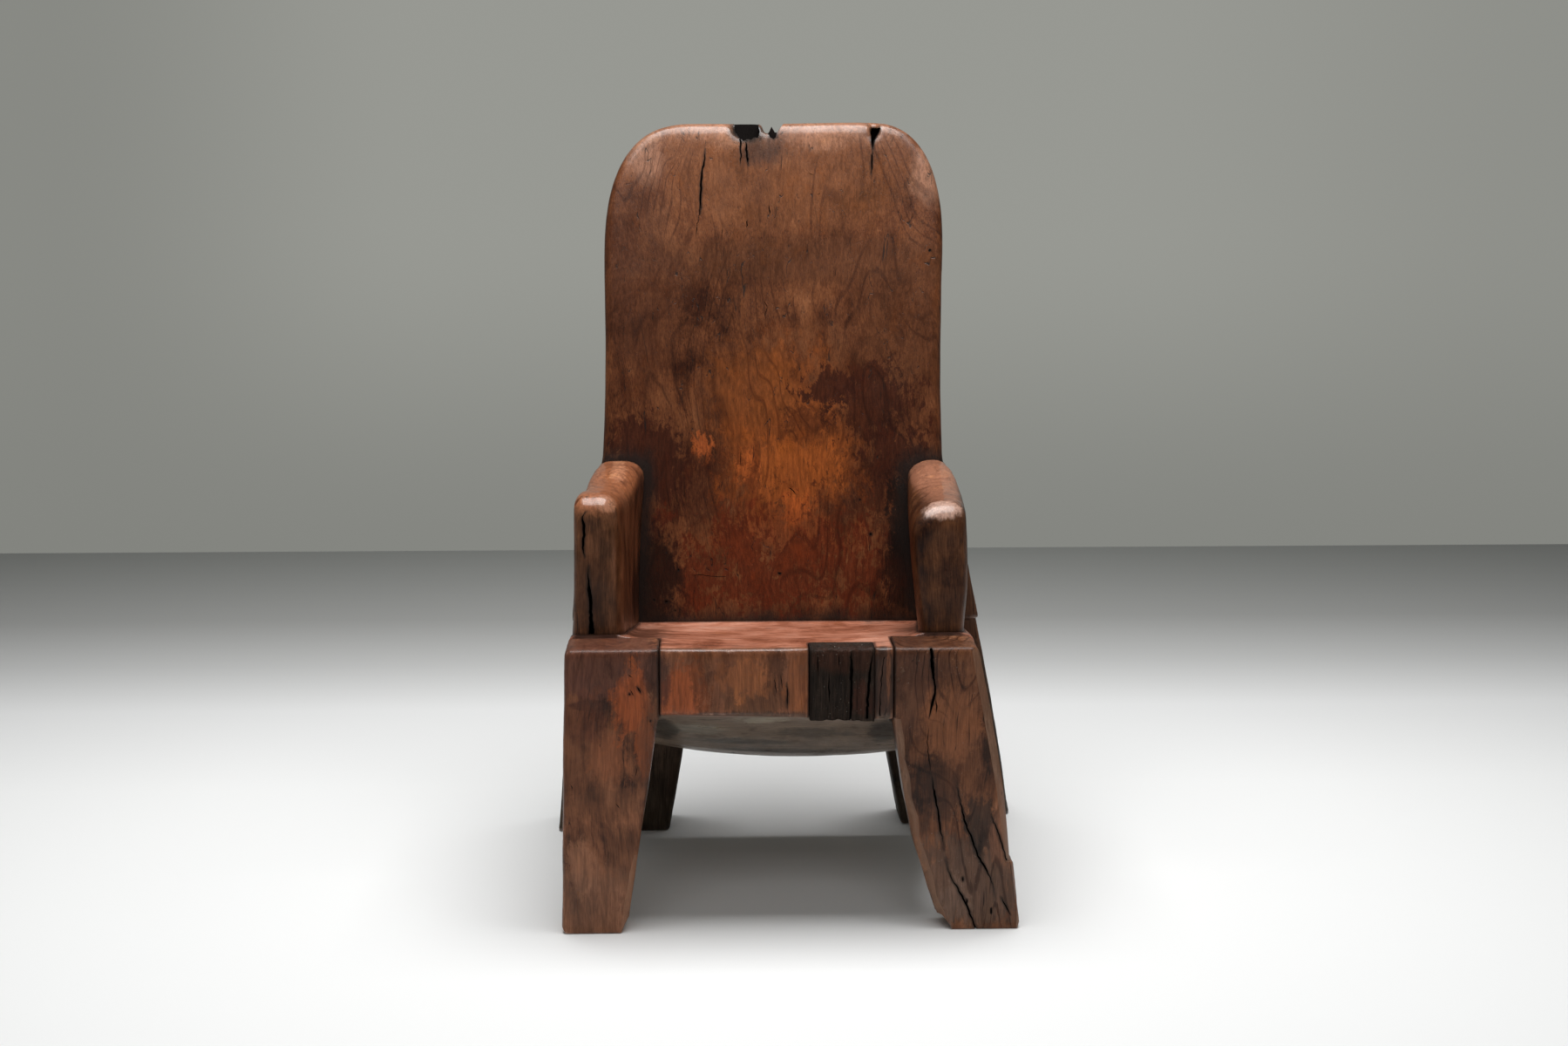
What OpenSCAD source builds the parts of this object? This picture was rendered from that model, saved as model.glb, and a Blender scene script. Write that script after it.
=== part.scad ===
// Carved hardwood armchair, pegged together from thick hewn blocks.
// Bench frame: X runs to the right as seen from the front, from the middle of the seat's front edge,
// Y from the front face to the rear, and Z up from the floor. Every node is moved at the end so that
// the origin lies on the floor under the middle of the chair's bounding box. Sizes are in millimetres.

/* [Seat] */
// Width of the seat across its front face
seat_w = 566; // [500:1:620]
// Front face of the seat to the face of the backrest
seat_depth = 420; // [380:1:460]
// Height of the seat's front edge above the floor
seat_h = 400; // [370:1:440]
// How far the seat falls from its front edge to the backrest
seat_drop = 46; // [20:1:60]
// How far the seat is crowned behind its front edge
seat_crown = 10; // [0:1:12]
// Depth of the hollow worn into the seat
seat_hollow = 9; // [0:1:16]
// How far the right flank runs outwards to the rear
flank_flare = 24; // [10:1:40]
// Ledge of seat behind the backrest's front face
seat_ledge = 80; // [72:1:100]
// Height of the front apron
apron_h = 96; // [84:1:110]
// Fall of the apron's lower edge over half the seat's width
apron_fall = 7; // [0:1:12]
// How far the belly hangs below the apron
belly_drop = 148; // [100:1:160]
// How far the belly's sides rise above its lowest line
belly_arc = 34; // [20:1:60]
// Distance of the belly's lowest line to the right of the middle
belly_shift = 56; // [0:1:80]
// Rounding of the seat's top edges
seat_round = 9; // [5:1:14]

/* [Apron inset] */
// Distance from the dark block in the apron to the seam of the right leg
inset_gap = 27; // [27:1:40]
// Width of the dark block
inset_w = 89; // [70:1:100]
// Depth that the dark block is let in
inset_t = 38; // [30:1:50]
// How far the dark block stands below the apron
inset_proud = 5; // [0:1:12]

/* [Front legs] */
// Width of the left front leg where it meets the apron
leg_top_left_w = 129; // [110:1:136]
// Width of the right front leg where it meets the apron
leg_top_right_w = 116; // [95:1:120]
// Thickness of a front leg at the seat
leg_top_t = 75; // [64:1:84]
// Thickness of a front leg at the floor
leg_foot_t = 55; // [50:1:64]
// Width of the left front foot
foot_left_w = 91; // [74:1:100]
// Width of the right front foot
foot_right_w = 112; // [84:1:118]
// How far the left front foot stands outside the seat
splay_left = 9; // [4:1:24]
// How far the right front foot stands outside the seat
splay_right = 64; // [48:1:68]
// How far the right leg's outside bows out of line half-way down, and half as far as its inside
leg_bow = 6; // [0:1:8]

/* [Rear legs] */
// Height of the rear legs where they brace the backrest
rear_leg_h = 446; // [425:1:470]
// How far the left rear foot stands outside the seat
rear_splay_left = 45; // [36:1:66]
// How far the right rear foot stands outside the seat
rear_splay_right = 129; // [120:1:145]
// How much of that the left rear leg's outside loses up to its top
rear_lean_left = 36; // [24:1:44]
// How much of that the right rear leg's outside loses up to its top
rear_lean_right = 88; // [76:1:96]
// Width of the left rear foot
rear_foot_left_w = 180; // [150:1:190]
// Width of the right rear foot
rear_foot_right_w = 186; // [160:1:200]
// Thickness of a rear leg at the floor
rear_foot_t = 100; // [84:1:110]
// Thickness of a rear leg at its top
rear_top_t = 66; // [56:1:80]
// How far the right rear foot stands back from the left one
rear_set_back = 22; // [10:1:40]
// How much further back its outer corner stands
rear_twist = 53; // [30:1:70]

/* [Backrest] */
// How much narrower the backrest is than the seat
back_narrow = 28; // [20:1:40]
// How far the backrest stands to the right of the middle
back_shift = 22; // [10:1:26]
// Height of the backrest's top above the floor
back_top = 1127; // [1040:1:1200]
// Rise of the top edge from left to right
back_top_rise = 5; // [0:1:10]
// Thickness of the backrest in its middle
back_t = 62; // [54:1:66]
// Lean of the backrest, run over rise
back_lean = 0.19; // [0.14:0.01:0.22]
// How far the top curls back beyond the straight lean
back_curl = 42; // [0:1:60]
// Depth of the hollow carved in the backrest's face
back_dish = 27; // [8:1:30]
// Thinning of the backrest towards its edges
back_bow = 10; // [0:1:14]
// Height of the left top corner's rounding
corner_left = 240; // [200:1:260]
// Height of the right top corner's rounding
corner_right = 210; // [180:1:240]
// How far the backrest's foot stands to the left of its top
back_veer = 10; // [0:1:14]
// Narrowing at the backrest's waist, each side
back_waist = 7; // [0:1:12]
// Rounding of the backrest's edges
back_round = 17; // [10:1:22]

/* [Arms] */
// Height of the arms' rear ends above the seat's front edge
arm_rise = 206; // [170:1:230]
// Width of an arm
arm_w = 64; // [58:1:70]
// Distance from the seat's front face to the arms
arm_set_back = 78; // [76:1:110]
// How far the arms stand inside the seat's flanks
arm_set_in = 7; // [3:1:14]
// How far the arms drift to the right towards the backrest
arm_drift = 21; // [0:1:26]
// How far the right arm's front end is turned in
arm_toe = 5; // [0:1:8]
// How far the arms' outsides bulge between their ends
arm_bulge = 5; // [0:1:8]
// Narrowing of the right arm towards the backrest
arm_taper = 10; // [0:1:14]
// Rounding of the arms' front ends
arm_nose = 34; // [24:1:44]
// Rounding along the arms' inner top edges
arm_round_in = 32; // [16:1:34]
// Rounding along the arms' outer top edges
arm_round_out = 18; // [12:1:24]
// Dip of the arms' tops behind their front ends
arm_dip = 17; // [0:1:22]
// How far the right arm's front end drops, of which the left one drops a third
arm_droop = 19; // [0:1:24]

/* [Joinery] */
// Clearance between neighbouring blocks
fit = 0.4; // [0.3:0.1:0.8]
// Radial clearance of a dowel in its bore
dowel_fit = 0.1; // [0.05:0.05:0.2]
// Diameter of the dowels that carry the legs and arms
dowel_d = 20; // [14:1:24]
// Length of those dowels
dowel_l = 84; // [60:1:90]
// Diameter of the pegs and small dowels
peg_d = 14; // [10:1:16]
// Length of the small dowels
peg_l = 50; // [40:1:56]
// Width of a loose tenon under the backrest
tenon_w = 92; // [70:1:110]
// Thickness of a loose tenon
tenon_t = 24; // [18:1:28]
// Length of a loose tenon
tenon_l = 120; // [90:1:130]
// Distance of a tenon from the backrest's middle
tenon_out = 120; // [90:1:140]

/* [Hidden] */

// Finish colours, as the photograph shows them
red_brown = [0.36, 0.17, 0.09];
mid_brown = [0.33, 0.19, 0.11];
dark_brown = [0.12, 0.08, 0.06];
peg_brown = [0.55, 0.38, 0.22];

// Heights and places that several pieces share
half_w = seat_w / 2;
back_w = seat_w - back_narrow;
arm_between = seat_w - 2 * (arm_w + arm_set_in);
rear_foot_left = half_w + rear_splay_left;
rear_foot_right = half_w + rear_splay_right;
seat_slope = seat_drop / seat_depth;
seat_back_z = seat_h - seat_drop;
seat_rear_y = seat_depth + seat_ledge;
apron_z = seat_h - apron_h;
seam_left = -half_w + leg_top_left_w;
seam_right = half_w - leg_top_right_w;
inset_x = seam_right - inset_gap - inset_w;
arm_top_z = seat_h + arm_rise;
lean_angle = atan(back_lean);
rear_y = seat_rear_y + fit;
edge_r = 7;
seam_r = 0.8;
end_room = 1;
shelf = 34;
crown_r = 14;

// Middle of the bounding box on the floor, which places the origin
foot_skew = rear_twist / rear_foot_right_w;
foot_corner = (edge_r + 2) * (1 + foot_skew - sqrt(1 + foot_skew * foot_skew));
chair_rear = rear_y + rear_set_back + rear_twist + rear_foot_t - foot_corner;
middle = [(rear_foot_right - rear_foot_left) / 2, chair_rear / 2, 0];

// Turns for rods, which are drawn along Z
TO_REAR = [-90, 0, 0];
TO_RIGHT = [0, 90, 0];
UP = [0, 0, 0];

function mix(a, b, t) = a + (b - a) * t;
function clamp01(t) = min(max(t, 0), 1);
function ease(t) = let (c = clamp01(t)) c * c * (3 - 2 * c);
function steps(n) = [for (i = [0 : n]) i / n];
// Inset of a quarter-round edge of radius r at distance d from the end face
function quarter(r, d) = d >= r ? 0 : r - sqrt(r * r - pow(r - d, 2));

// Top of the seat: straight over the front legs, crowned behind them, and its right flank
function crown_at(y) =
  y < leg_top_t ? y / leg_top_t : 1 - ease((y - leg_top_t) / (seat_depth - leg_top_t));
function seat_z(y) = seat_h - seat_slope * y + seat_crown * crown_at(y);
function flank_right(y) = half_w + flank_flare * y / seat_rear_y;

// A closed skin over planar rings that have equal numbers of points; each end is a fan about its middle
module skin(rings) {
  n = len(rings[0]);
  last = (len(rings) - 1) * n;
  hub = len(rings) * n;
  hubs = [for (r = [rings[0], rings[len(rings) - 1]]) [for (p = r) 1 / n] * r];
  sides = [
    for (k = [0 : len(rings) - 2], j = [0 : n - 1])
      let (a = k * n + j, b = k * n + (j + 1) % n)
        each [[a, a + n, b + n], [a, b + n, b]]
  ];
  first_cap = [for (j = [0 : n - 1]) [hub, j, (j + 1) % n]];
  last_cap = [for (j = [0 : n - 1]) [hub + 1, last + (j + 1) % n, last + j]];
  polyhedron(points = concat([for (r = rings) each r], hubs), faces = concat(sides, first_cap, last_cap));
}

// Quarter arc about a corner's centre, starting at angle a
function arc(cu, cv, r, a) = [for (t = steps(4)) [cu + r * cos(a + 90 * t), cv + r * sin(a + 90 * t)]];
// Rounded rectangle from [u0, v0] to [u1, v1] with a radius for each corner in turn,
// and extra points along the two sides that run with u
function rounded(u0, v0, u1, v1, r, along = 1) = concat(
  arc(u0 + r[0], v0 + r[0], r[0], 180),
  [for (i = [1 : 1 : along - 1]) [mix(u0 + r[0], u1 - r[1], i / along), v0]],
  arc(u1 - r[1], v0 + r[1], r[1], 270),
  arc(u1 - r[2], v1 - r[2], r[2], 0),
  [for (i = [1 : 1 : along - 1]) [mix(u1 - r[2], u0 + r[3], i / along), v1]],
  arc(u0 + r[3], v1 - r[3], r[3], 90)
);

// A dowel of diameter d from a point in the turned Z direction; grow > 0 makes its bore
module rod(at, turn, d, l, grow) {
  room = grow > 0 ? end_room : 0;
  translate(at)
    rotate(turn)
      translate([0, 0, -room])
        cylinder(h = l + 2 * room, r = d / 2 + grow, $fn = 48);
}

// Seat block

// Underside of the seat block from the apron back to the rear face
belly_line = [
  [0.00, 0.00], [0.05, 0.02], [0.17, 0.13], [0.40, 0.50], [0.62, 0.81],
  [0.80, 0.96], [0.90, 1.00], [1.05, 0.97], [1.24, 0.84]
];
function under_z(x, y) =
  apron_z - apron_fall * x / half_w * (1 - ease(y / seat_depth))
  - belly_drop * lookup(y / seat_depth, belly_line)
  + belly_arc * ease(y / seat_depth * 1.4) * pow((x - belly_shift) / half_w, 2);
// The hollow lies between the arms and ends before the backrest
function hollow(x, y) =
  let (across = 2 * (x - arm_drift * y / seat_depth) / arm_between)
  seat_hollow * pow(max(0, 1 - across * across), 1.5) * pow(sin(180 * clamp01(y / seat_depth * 1.02)), 2);

// Section through the seat block from front to rear, at a share s of its width
function seat_ring(s) =
  let (
    r = seat_round,
    e = quarter(r, min(s, 1 - s) * seat_w),
    rear_top = seat_z(seat_rear_y) - e,
    outline = concat(
      [for (t = steps(16)) [mix(0, seat_rear_y, t), -1]],
      [for (t = steps(3)) [seat_rear_y - r + r * cos(90 * t), rear_top - r + r * sin(90 * t)]],
      [for (t = steps(9)) [mix(seat_depth * 1.04, leg_top_t, t), -2]],
      [[2 * r, -2]],
      [for (t = steps(4)) [r - r * sin(90 * t), seat_h - e - r + r * cos(90 * t)]]
    )
  )
  [
    for (p = outline)
      let (x = mix(-half_w, flank_right(p[0]), s))
        [x, p[0], p[1] == -1 ? under_z(x, p[0]) + e : p[1] == -2 ? seat_z(p[0]) - hollow(x, p[0]) - e : p[1]]
  ];

module seat_blank() {
  near = [0, seat_round / 6, seat_round / 2, seat_round];
  shares = concat(
    [for (d = near) d / seat_w],
    [for (t = steps(14)) mix(0.05, 0.95, t)],
    [for (i = [3 : -1 : 0]) 1 - near[i] / seat_w]
  );
  skin([for (s = shares) seat_ring(s)]);
}

// Corner of the seat cut out for a front leg
module front_notch(left) {
  x = left ? -seat_w : seam_right - fit;
  wide = left ? seam_left + fit + seat_w : seat_w;
  translate([x, -seat_w, -seat_h]) cube([wide, seat_w + leg_top_t + fit, 3 * seat_h]);
}

module inset_pocket() {
  translate([inset_x - fit, -inset_t, apron_z - apron_h])
    cube([inset_w + 2 * fit, 2 * inset_t + fit, seat_h]);
}

module seat_block() {
  color(red_brown) difference() {
    seat_blank();
    front_notch(true);
    front_notch(false);
    inset_pocket();
    loose_tenons(fit / 2);
    tenon_pegs(dowel_fit);
    arm_dowels(true, dowel_fit);
    arm_dowels(false, dowel_fit);
    front_leg_dowels(true, dowel_fit);
    front_leg_dowels(false, dowel_fit);
    rear_leg_dowels(true, dowel_fit);
    rear_leg_dowels(false, dowel_fit);
    inset_dowels(dowel_fit);
  }
}

// Dark block let into the apron

function inset_ring(x) =
  let (r = seat_round, low = apron_z - apron_fall * x / half_w - inset_proud)
  concat(
    [[x, 0, low], [x, inset_t, low], [x, inset_t, seat_z(inset_t)], [x, 2 * r, seat_z(2 * r)]],
    [for (t = steps(4)) [x, r - r * sin(90 * t), seat_h - r + r * cos(90 * t)]]
  );

module apron_inset() {
  color(dark_brown) difference() {
    skin([for (t = steps(2)) inset_ring(inset_x + inset_w * t)]);
    inset_dowels(dowel_fit);
  }
}

module inset_dowels(grow = 0) {
  for (share = [0.3, 0.72])
    rod([inset_x + inset_w / 2, inset_t - peg_l / 2, apron_z + apron_h * share],
      TO_REAR, peg_d, peg_l, grow);
}
module apron_inset_dowels() {
  color(peg_brown) inset_dowels();
}

// Backrest

function back_share(z) = (z - seat_back_z) / (back_top - seat_back_z);
function back_face_y(z) =
  seat_depth + back_lean * (z - seat_back_z) + back_curl * pow(max(0, back_share(z)), 3);
function back_dish_at(z) = back_dish * (0.4 + 0.6 * sin(180 * clamp01(back_share(z))));
// Width that a top corner of height r takes off at a height z
function corner_cut(z, r) =
  let (rise = clamp01((z - back_top + r) / r))
  0.6 * r * (1 - pow(1 - pow(rise, 2.7), 1 / 2.7));
function back_side(z, r) =
  back_w / 2 - back_waist * pow(sin(180 * clamp01(back_share(z))), 4) - corner_cut(z, r);
function back_mid(z) = back_shift - back_veer * pow(1 - clamp01(back_share(z)), 1.5);

// Level section of the backrest, tilted with the seat at its foot. grow makes it larger all round.
function back_ring(z, inset, grow) =
  let (
    mid = back_mid(z),
    x0 = mid - back_side(z, corner_left) - grow,
    x1 = mid + back_side(z, corner_right) + grow,
    tilt = seat_slope * (1 - ease(back_share(z) * 6)),
    rise = back_top_rise * clamp01(back_share(z)) / back_w,
    face = back_face_y(z),
    dish = back_dish_at(z),
    r = min(back_round, (back_t - 2 * inset) * 0.32),
    around = [r, r, r, r]
  )
  [
    for (p = rounded(x0, inset - grow, x1, back_t - inset + grow, around, 14))
      let (
        q = pow(2 * (p[0] - mid) / back_w, 2),
        y = face + p[1] - dish * q - back_bow * q * p[1] / back_t
      )
      [p[0], y, z - tilt * (y - seat_depth) + rise * (p[0] - mid)]
  ];

module backrest_blank(grow = 0) {
  foot = seat_back_z + fit - 2 * grow;
  body = [for (t = steps(9)) mix(foot, back_top - corner_left, t)];
  // the crown's rings crowd together towards the top
  crown = [
    for (t = steps(12)) if (t > 0) back_top - corner_left * (1 - sin(90 * t)) - 0.035 * back_round * t
  ];
  skin([for (z = concat(body, crown)) back_ring(z, quarter(back_round, back_top - z), grow)]);
}

// Burnt knot, split and wedge at the top edge, as shares of the backrest's width:
// [place from the middle, width, depth down, depth to the rear]
top_marks = [[-0.057, 0.052, 0.049, 0.03], [0.024, 0.024, 0.046, 0.17], [0.339, 0.026, 0.06, 0.036]];

module top_splits() {
  for (share = top_marks)
    let (m = share * back_w)
      translate([m[0], back_face_y(back_top) - back_dish * 1.2, back_top])
        rotate([-90, 0, 0])
          linear_extrude(height = back_dish * 1.2 + m[3])
            polygon([
              [-m[1] / 2, -back_round / 2], [-m[1] * 0.42, m[2] * 0.5], [-m[1] * 0.1, m[2]],
              [m[1] * 0.2, m[2] * 0.8], [m[1] * 0.45, m[2] * 0.35], [m[1] / 2, -back_round / 2]
            ]);
}

module backrest() {
  color(mid_brown) difference() {
    backrest_blank();
    top_splits();
    loose_tenons(fit / 2);
    arm_back_dowel(true, dowel_fit);
    arm_back_dowel(false, dowel_fit);
  }
}

// Two loose tenons stand in the seat block and rise into the backrest along its lean
module loose_tenons(grow = 0) {
  for (side = [-1, 1])
    translate([back_shift + side * tenon_out, seat_depth + back_t * 0.47, seat_back_z])
      rotate([-lean_angle, 0, 0])
        cube([tenon_w + 2 * grow, tenon_t + 2 * grow, tenon_l + 2 * grow], center = true);
}

module backrest_tenons() {
  color(peg_brown) difference() {
    loose_tenons();
    tenon_pegs(dowel_fit);
  }
}

// A peg through each tenon, driven in from the seat block's rear face
module tenon_pegs(grow = 0) {
  drop = tenon_l * 0.28;
  l = seat_ledge * 1.05;
  // the bore runs out through the rear face
  for (side = [-1, 1])
    rod([back_shift + side * tenon_out, seat_rear_y - l, seat_back_z - drop], TO_REAR, peg_d,
      l + (grow > 0 ? peg_d : 0), grow);
}
module backrest_pegs() {
  color(peg_brown) tenon_pegs();
}

// Arms

// The arms end inside the backrest's edges, so their rear ends are cut to its face
arm_l = seat_depth + back_t * 0.24 - arm_set_back;
arm_mid_x = (arm_between + arm_w) / 2;
// Level of an arm's top at a distance d behind its front end
function arm_top(d, left) =
  let (
    front = arm_droop * (left ? 0.3 : 1) * (1 - ease((d - arm_nose) / (0.4 * arm_l))),
    dip = arm_dip * pow(sin(180 * clamp01((d - arm_nose) / (0.75 * arm_l))), 2)
  )
  arm_top_z - front - quarter(arm_nose, d) - dip;

// Upright section of an arm at a distance d behind its front end. The sections lean with the
// backrest towards the rear. The right arm swells above a narrower foot; the left one stands on a
// broad foot, and its top leans outwards in front and inwards behind.
function arm_foot(y, k, z) = seat_z(y + k * (z - seat_back_z)) + fit;
function arm_ring(d, left) =
  let (
    share = d / arm_l,
    k = back_lean * 0.75 * share,
    start = arm_set_back + d,
    low = arm_foot(start, k, arm_foot(start, k, arm_foot(start, 0, 0))),
    top = arm_top(d, left),
    side = left ? -1 : 1,
    drift = side * arm_drift * share,
    swell_in = arm_w * (left ? mix(-0.16, 0.2, share) : mix(0.18, 0.26, share)),
    swell_out = arm_w * (left ? -0.05 : 0.085) * (1 - share * 0.7),
    toe_in = (left ? 0.13 * arm_w : arm_toe) * (1 - share),
    toe_out = left ? 0 : arm_toe * (1 - share),
    taper = left ? 0 : arm_taper,
    inner = arm_between / 2 - toe_in + drift + taper * share + 0.5 * quarter(arm_nose * 0.82, d),
    outer = arm_between / 2 + arm_w - toe_out + drift - taper * pow(share, 3) + arm_bulge * sin(180 * share)
      - 0.5 * quarter(arm_nose * 0.53, d),
    wide = outer - inner,
    r_in = min(arm_round_in * (left ? 0.9 : 1.3), wide * 0.59),
    r_out = min(arm_round_out, wide * 0.36),
    shape = rounded(low, inner, top, outer, [2 * seam_r, r_in, r_out, 2 * seam_r], 5)
  )
  [
    for (i = [0 : len(shape) - 1])
      let (
        p = shape[left ? len(shape) - 1 - i : i],
        rise = (p[0] - low) / (top - low),
        inwards = swell_in * (left ? rise * rise : sin(180 * rise * 0.62)),
        outwards = swell_out * sin(180 * rise * (left ? 0.62 : 0.95)),
        swell = mix(-inwards, outwards, (p[1] - inner) / (outer - inner))
      )
      [side * (p[1] + swell), arm_set_back + d + k * (p[0] - seat_back_z), p[0]]
  ];

module arm_blank(left) {
  nose = [for (t = steps(7)) arm_nose * (1 - cos(90 * t))];
  run = [for (t = steps(9)) if (t > 0) mix(arm_nose, arm_l, t)];
  skin([for (d = concat(nose, run)) arm_ring(d, left)]);
}

// Upright dowels between an arm and the seat block
module arm_dowels(left, grow = 0) {
  side = left ? -1 : 1;
  for (y = [arm_set_back + arm_w, seat_depth - arm_w])
    rod([side * arm_mid_x + arm_drift * y / seat_depth, y, seat_z(y) - dowel_l / 2],
      UP, dowel_d, dowel_l, grow);
}
// One level dowel between an arm and the backrest
module arm_back_dowel(left, grow = 0) {
  side = left ? -1 : 1;
  z = arm_top_z - arm_rise * 0.3;
  rod([side * (arm_mid_x - 0.07 * arm_w) + arm_drift, back_face_y(z) - back_dish_at(z) * 0.8 - peg_l / 2, z],
    TO_REAR, peg_d, peg_l, grow);
}

module arm(left) {
  color(mid_brown) difference() {
    arm_blank(left);
    backrest_blank(fit);
    arm_dowels(left, dowel_fit);
    arm_back_dowel(left, dowel_fit);
  }
}
module left_arm() {
  arm(true);
}
module right_arm() {
  arm(false);
}
module left_arm_dowels() {
  color(peg_brown) arm_dowels(true);
}
module right_arm_dowels() {
  color(peg_brown) arm_dowels(false);
}
module left_arm_back_dowel() {
  color(peg_brown) arm_back_dowel(true);
}
module right_arm_back_dowel() {
  color(peg_brown) arm_back_dowel(false);
}

// Front legs

// Section of a front leg at height z, tilted with the seat at its top
function front_leg_ring(z, left) =
  let (
    below = clamp01(1 - z / apron_z),
    bow = left ? 0 : leg_bow,
    outer = half_w + (left ? splay_left : splay_right) * (1 - z / seat_h) + bow * sin(180 * z / seat_h),
    foot_inner = half_w + (left ? splay_left - foot_left_w : splay_right - foot_right_w),
    inner = mix(left ? -seam_left : seam_right, foot_inner, below) - 2 * bow * sin(180 * below),
    e = quarter(seat_round, seat_h - z),
    t = mix(leg_top_t, leg_foot_t, below),
    r_in = z > apron_z * 0.995 ? seam_r : edge_r,
    x0 = left ? -outer + e : inner,
    x1 = left ? -inner : outer - e,
    r = left ? [edge_r, r_in, seam_r, edge_r] : [r_in, edge_r, edge_r, seam_r]
  )
  [
    for (p = rounded(x0, 0, x1, t, r))
      let (y = p[1] + e * (1 - p[1] / t))
        [p[0], y, z + (seat_z(y) - seat_h) * z / seat_h]
  ];

module front_leg_blank(left) {
  low = [for (t = steps(5)) mix(0, apron_z * 0.99, t)];
  high = [for (t = steps(3)) mix(apron_z, seat_h - seat_round, t)];
  top = [for (t = steps(4)) if (t > 0) seat_h - seat_round * (1 - sin(90 * t))];
  skin([for (z = concat(low, high, top)) front_leg_ring(z, left)]);
}

// Two dowels run back from a front leg into the seat block, and a small one sideways into the apron
module front_leg_dowels(left, grow = 0) {
  seam = left ? seam_left : seam_right;
  corner = left ? -half_w : half_w;
  z = seat_h * 0.86;
  for (share = [0.32, 0.74])
    rod([mix(seam, corner, share), leg_top_t - dowel_l * 0.45, z], TO_REAR, dowel_d, dowel_l, grow);
  rod([seam - peg_l / 2, leg_top_t * 0.3, z + dowel_d], TO_RIGHT, peg_d, peg_l, grow);
}

module front_leg(left) {
  color(left ? red_brown : mid_brown) difference() {
    front_leg_blank(left);
    front_leg_dowels(left, dowel_fit);
  }
}
module front_left_leg() {
  front_leg(true);
}
module front_right_leg() {
  front_leg(false);
}
module front_left_leg_dowels() {
  color(peg_brown) front_leg_dowels(true);
}
module front_right_leg_dowels() {
  color(peg_brown) front_leg_dowels(false);
}

// Rear legs

// Inside of a rear leg over its height, as shares of its foot's width
inside_left = [[0, 0], [0.34, -0.143], [0.67, -0.157], [0.78, -0.095], [1, 0.194]];
inside_right = [[0, 0], [0.34, -0.161], [0.67, -0.177], [0.78, -0.108], [1, 0.011]];
// Inner and outer faces of a rear leg at height z, as distances from the middle
function rear_inner(z, left) =
  left ? rear_foot_left - rear_foot_left_w * (1 - lookup(z / rear_leg_h, inside_left))
    : rear_foot_right - rear_foot_right_w * (1 - lookup(z / rear_leg_h, inside_right));
function rear_outer(z, left) =
  left ? rear_foot_left - rear_lean_left * z / rear_leg_h
    : rear_foot_right - rear_lean_right * z / rear_leg_h;
// The shelf at the top rests on the seat's ledge and hugs the backrest
shelf_z = seat_z(rear_y) + fit;

function rear_leg_ring(z, left, over = 0) =
  let (
    low = pow(clamp01(1 - z / (0.48 * rear_leg_h)), 1.25),
    back = left ? 0 : rear_set_back * low,
    twist = left ? 0 : rear_twist * low,
    e = quarter(crown_r, rear_leg_h - z),
    i = rear_inner(z, left) + e,
    o = rear_outer(z, left) - e,
    x0 = left ? -o : i,
    x1 = left ? -i : o,
    y0 = rear_y + back - over * shelf + e,
    y1 = rear_y + back + mix(rear_foot_t, rear_top_t, z / rear_leg_h) - e,
    tilt = seat_slope * ease((z / rear_leg_h - 0.45) * 4.5),
    r = edge_r + 2
  )
  [
    for (p = rounded(x0, y0, x1, y1, [r, r, r, r], 3))
      let (y = p[1] + twist * (abs(p[0]) - i) / (o - i))
        [p[0], y, z - tilt * (y - rear_y)]
  ];

module rear_leg_blank(left) {
  low = [for (share = [0, 0.08, 0.16, 0.24, 0.31, 0.39, 0.47, 0.58, 0.67]) share * rear_leg_h];
  skin(concat(
    [for (z = concat(low, [shelf_z - 0.02])) rear_leg_ring(z, left)],
    [for (z = [shelf_z, mix(shelf_z, rear_leg_h - crown_r, 0.5)]) rear_leg_ring(z, left, 1)],
    [for (t = steps(4)) rear_leg_ring(rear_leg_h - crown_r * (1 - sin(90 * t)), left, 1)]
  ));
}

module rear_leg_dowels(left, grow = 0) {
  x = (left ? -1 : 1) * half_w * 0.82;
  for (drop = [1.5 * dowel_d, 4.1 * dowel_d])
    rod([x, seat_rear_y + fit / 2 - dowel_l / 2, seat_z(seat_rear_y) - drop],
      TO_REAR, dowel_d, dowel_l, grow);
}

module rear_leg(left) {
  color(dark_brown) difference() {
    rear_leg_blank(left);
    backrest_blank(fit);
    rear_leg_dowels(left, dowel_fit);
  }
}
module rear_left_leg() {
  rear_leg(true);
}
module rear_right_leg() {
  rear_leg(false);
}
module rear_left_leg_dowels() {
  color(peg_brown) rear_leg_dowels(true);
}
module rear_right_leg_dowels() {
  color(peg_brown) rear_leg_dowels(false);
}

module placed() {
  translate(-middle) children();
}

placed() seat_block();
placed() apron_inset();
placed() backrest();
placed() left_arm();
placed() right_arm();
placed() front_left_leg();
placed() front_right_leg();
placed() rear_left_leg();
placed() rear_right_leg();
placed() backrest_tenons();
placed() backrest_pegs();
placed() left_arm_dowels();
placed() right_arm_dowels();
placed() left_arm_back_dowel();
placed() right_arm_back_dowel();
placed() front_left_leg_dowels();
placed() front_right_leg_dowels();
placed() rear_left_leg_dowels();
placed() rear_right_leg_dowels();
placed() apron_inset_dowels();
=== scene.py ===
"""Looks of the carved hardwood armchair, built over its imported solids. Lengths are metres, and sizes
that a maker would read off a rule are millimetres."""
import logging
import math
from dataclasses import dataclass
from enum import Enum

import bmesh
import bpy
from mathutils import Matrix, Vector
from mathutils.bvhtree import BVHTree


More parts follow.
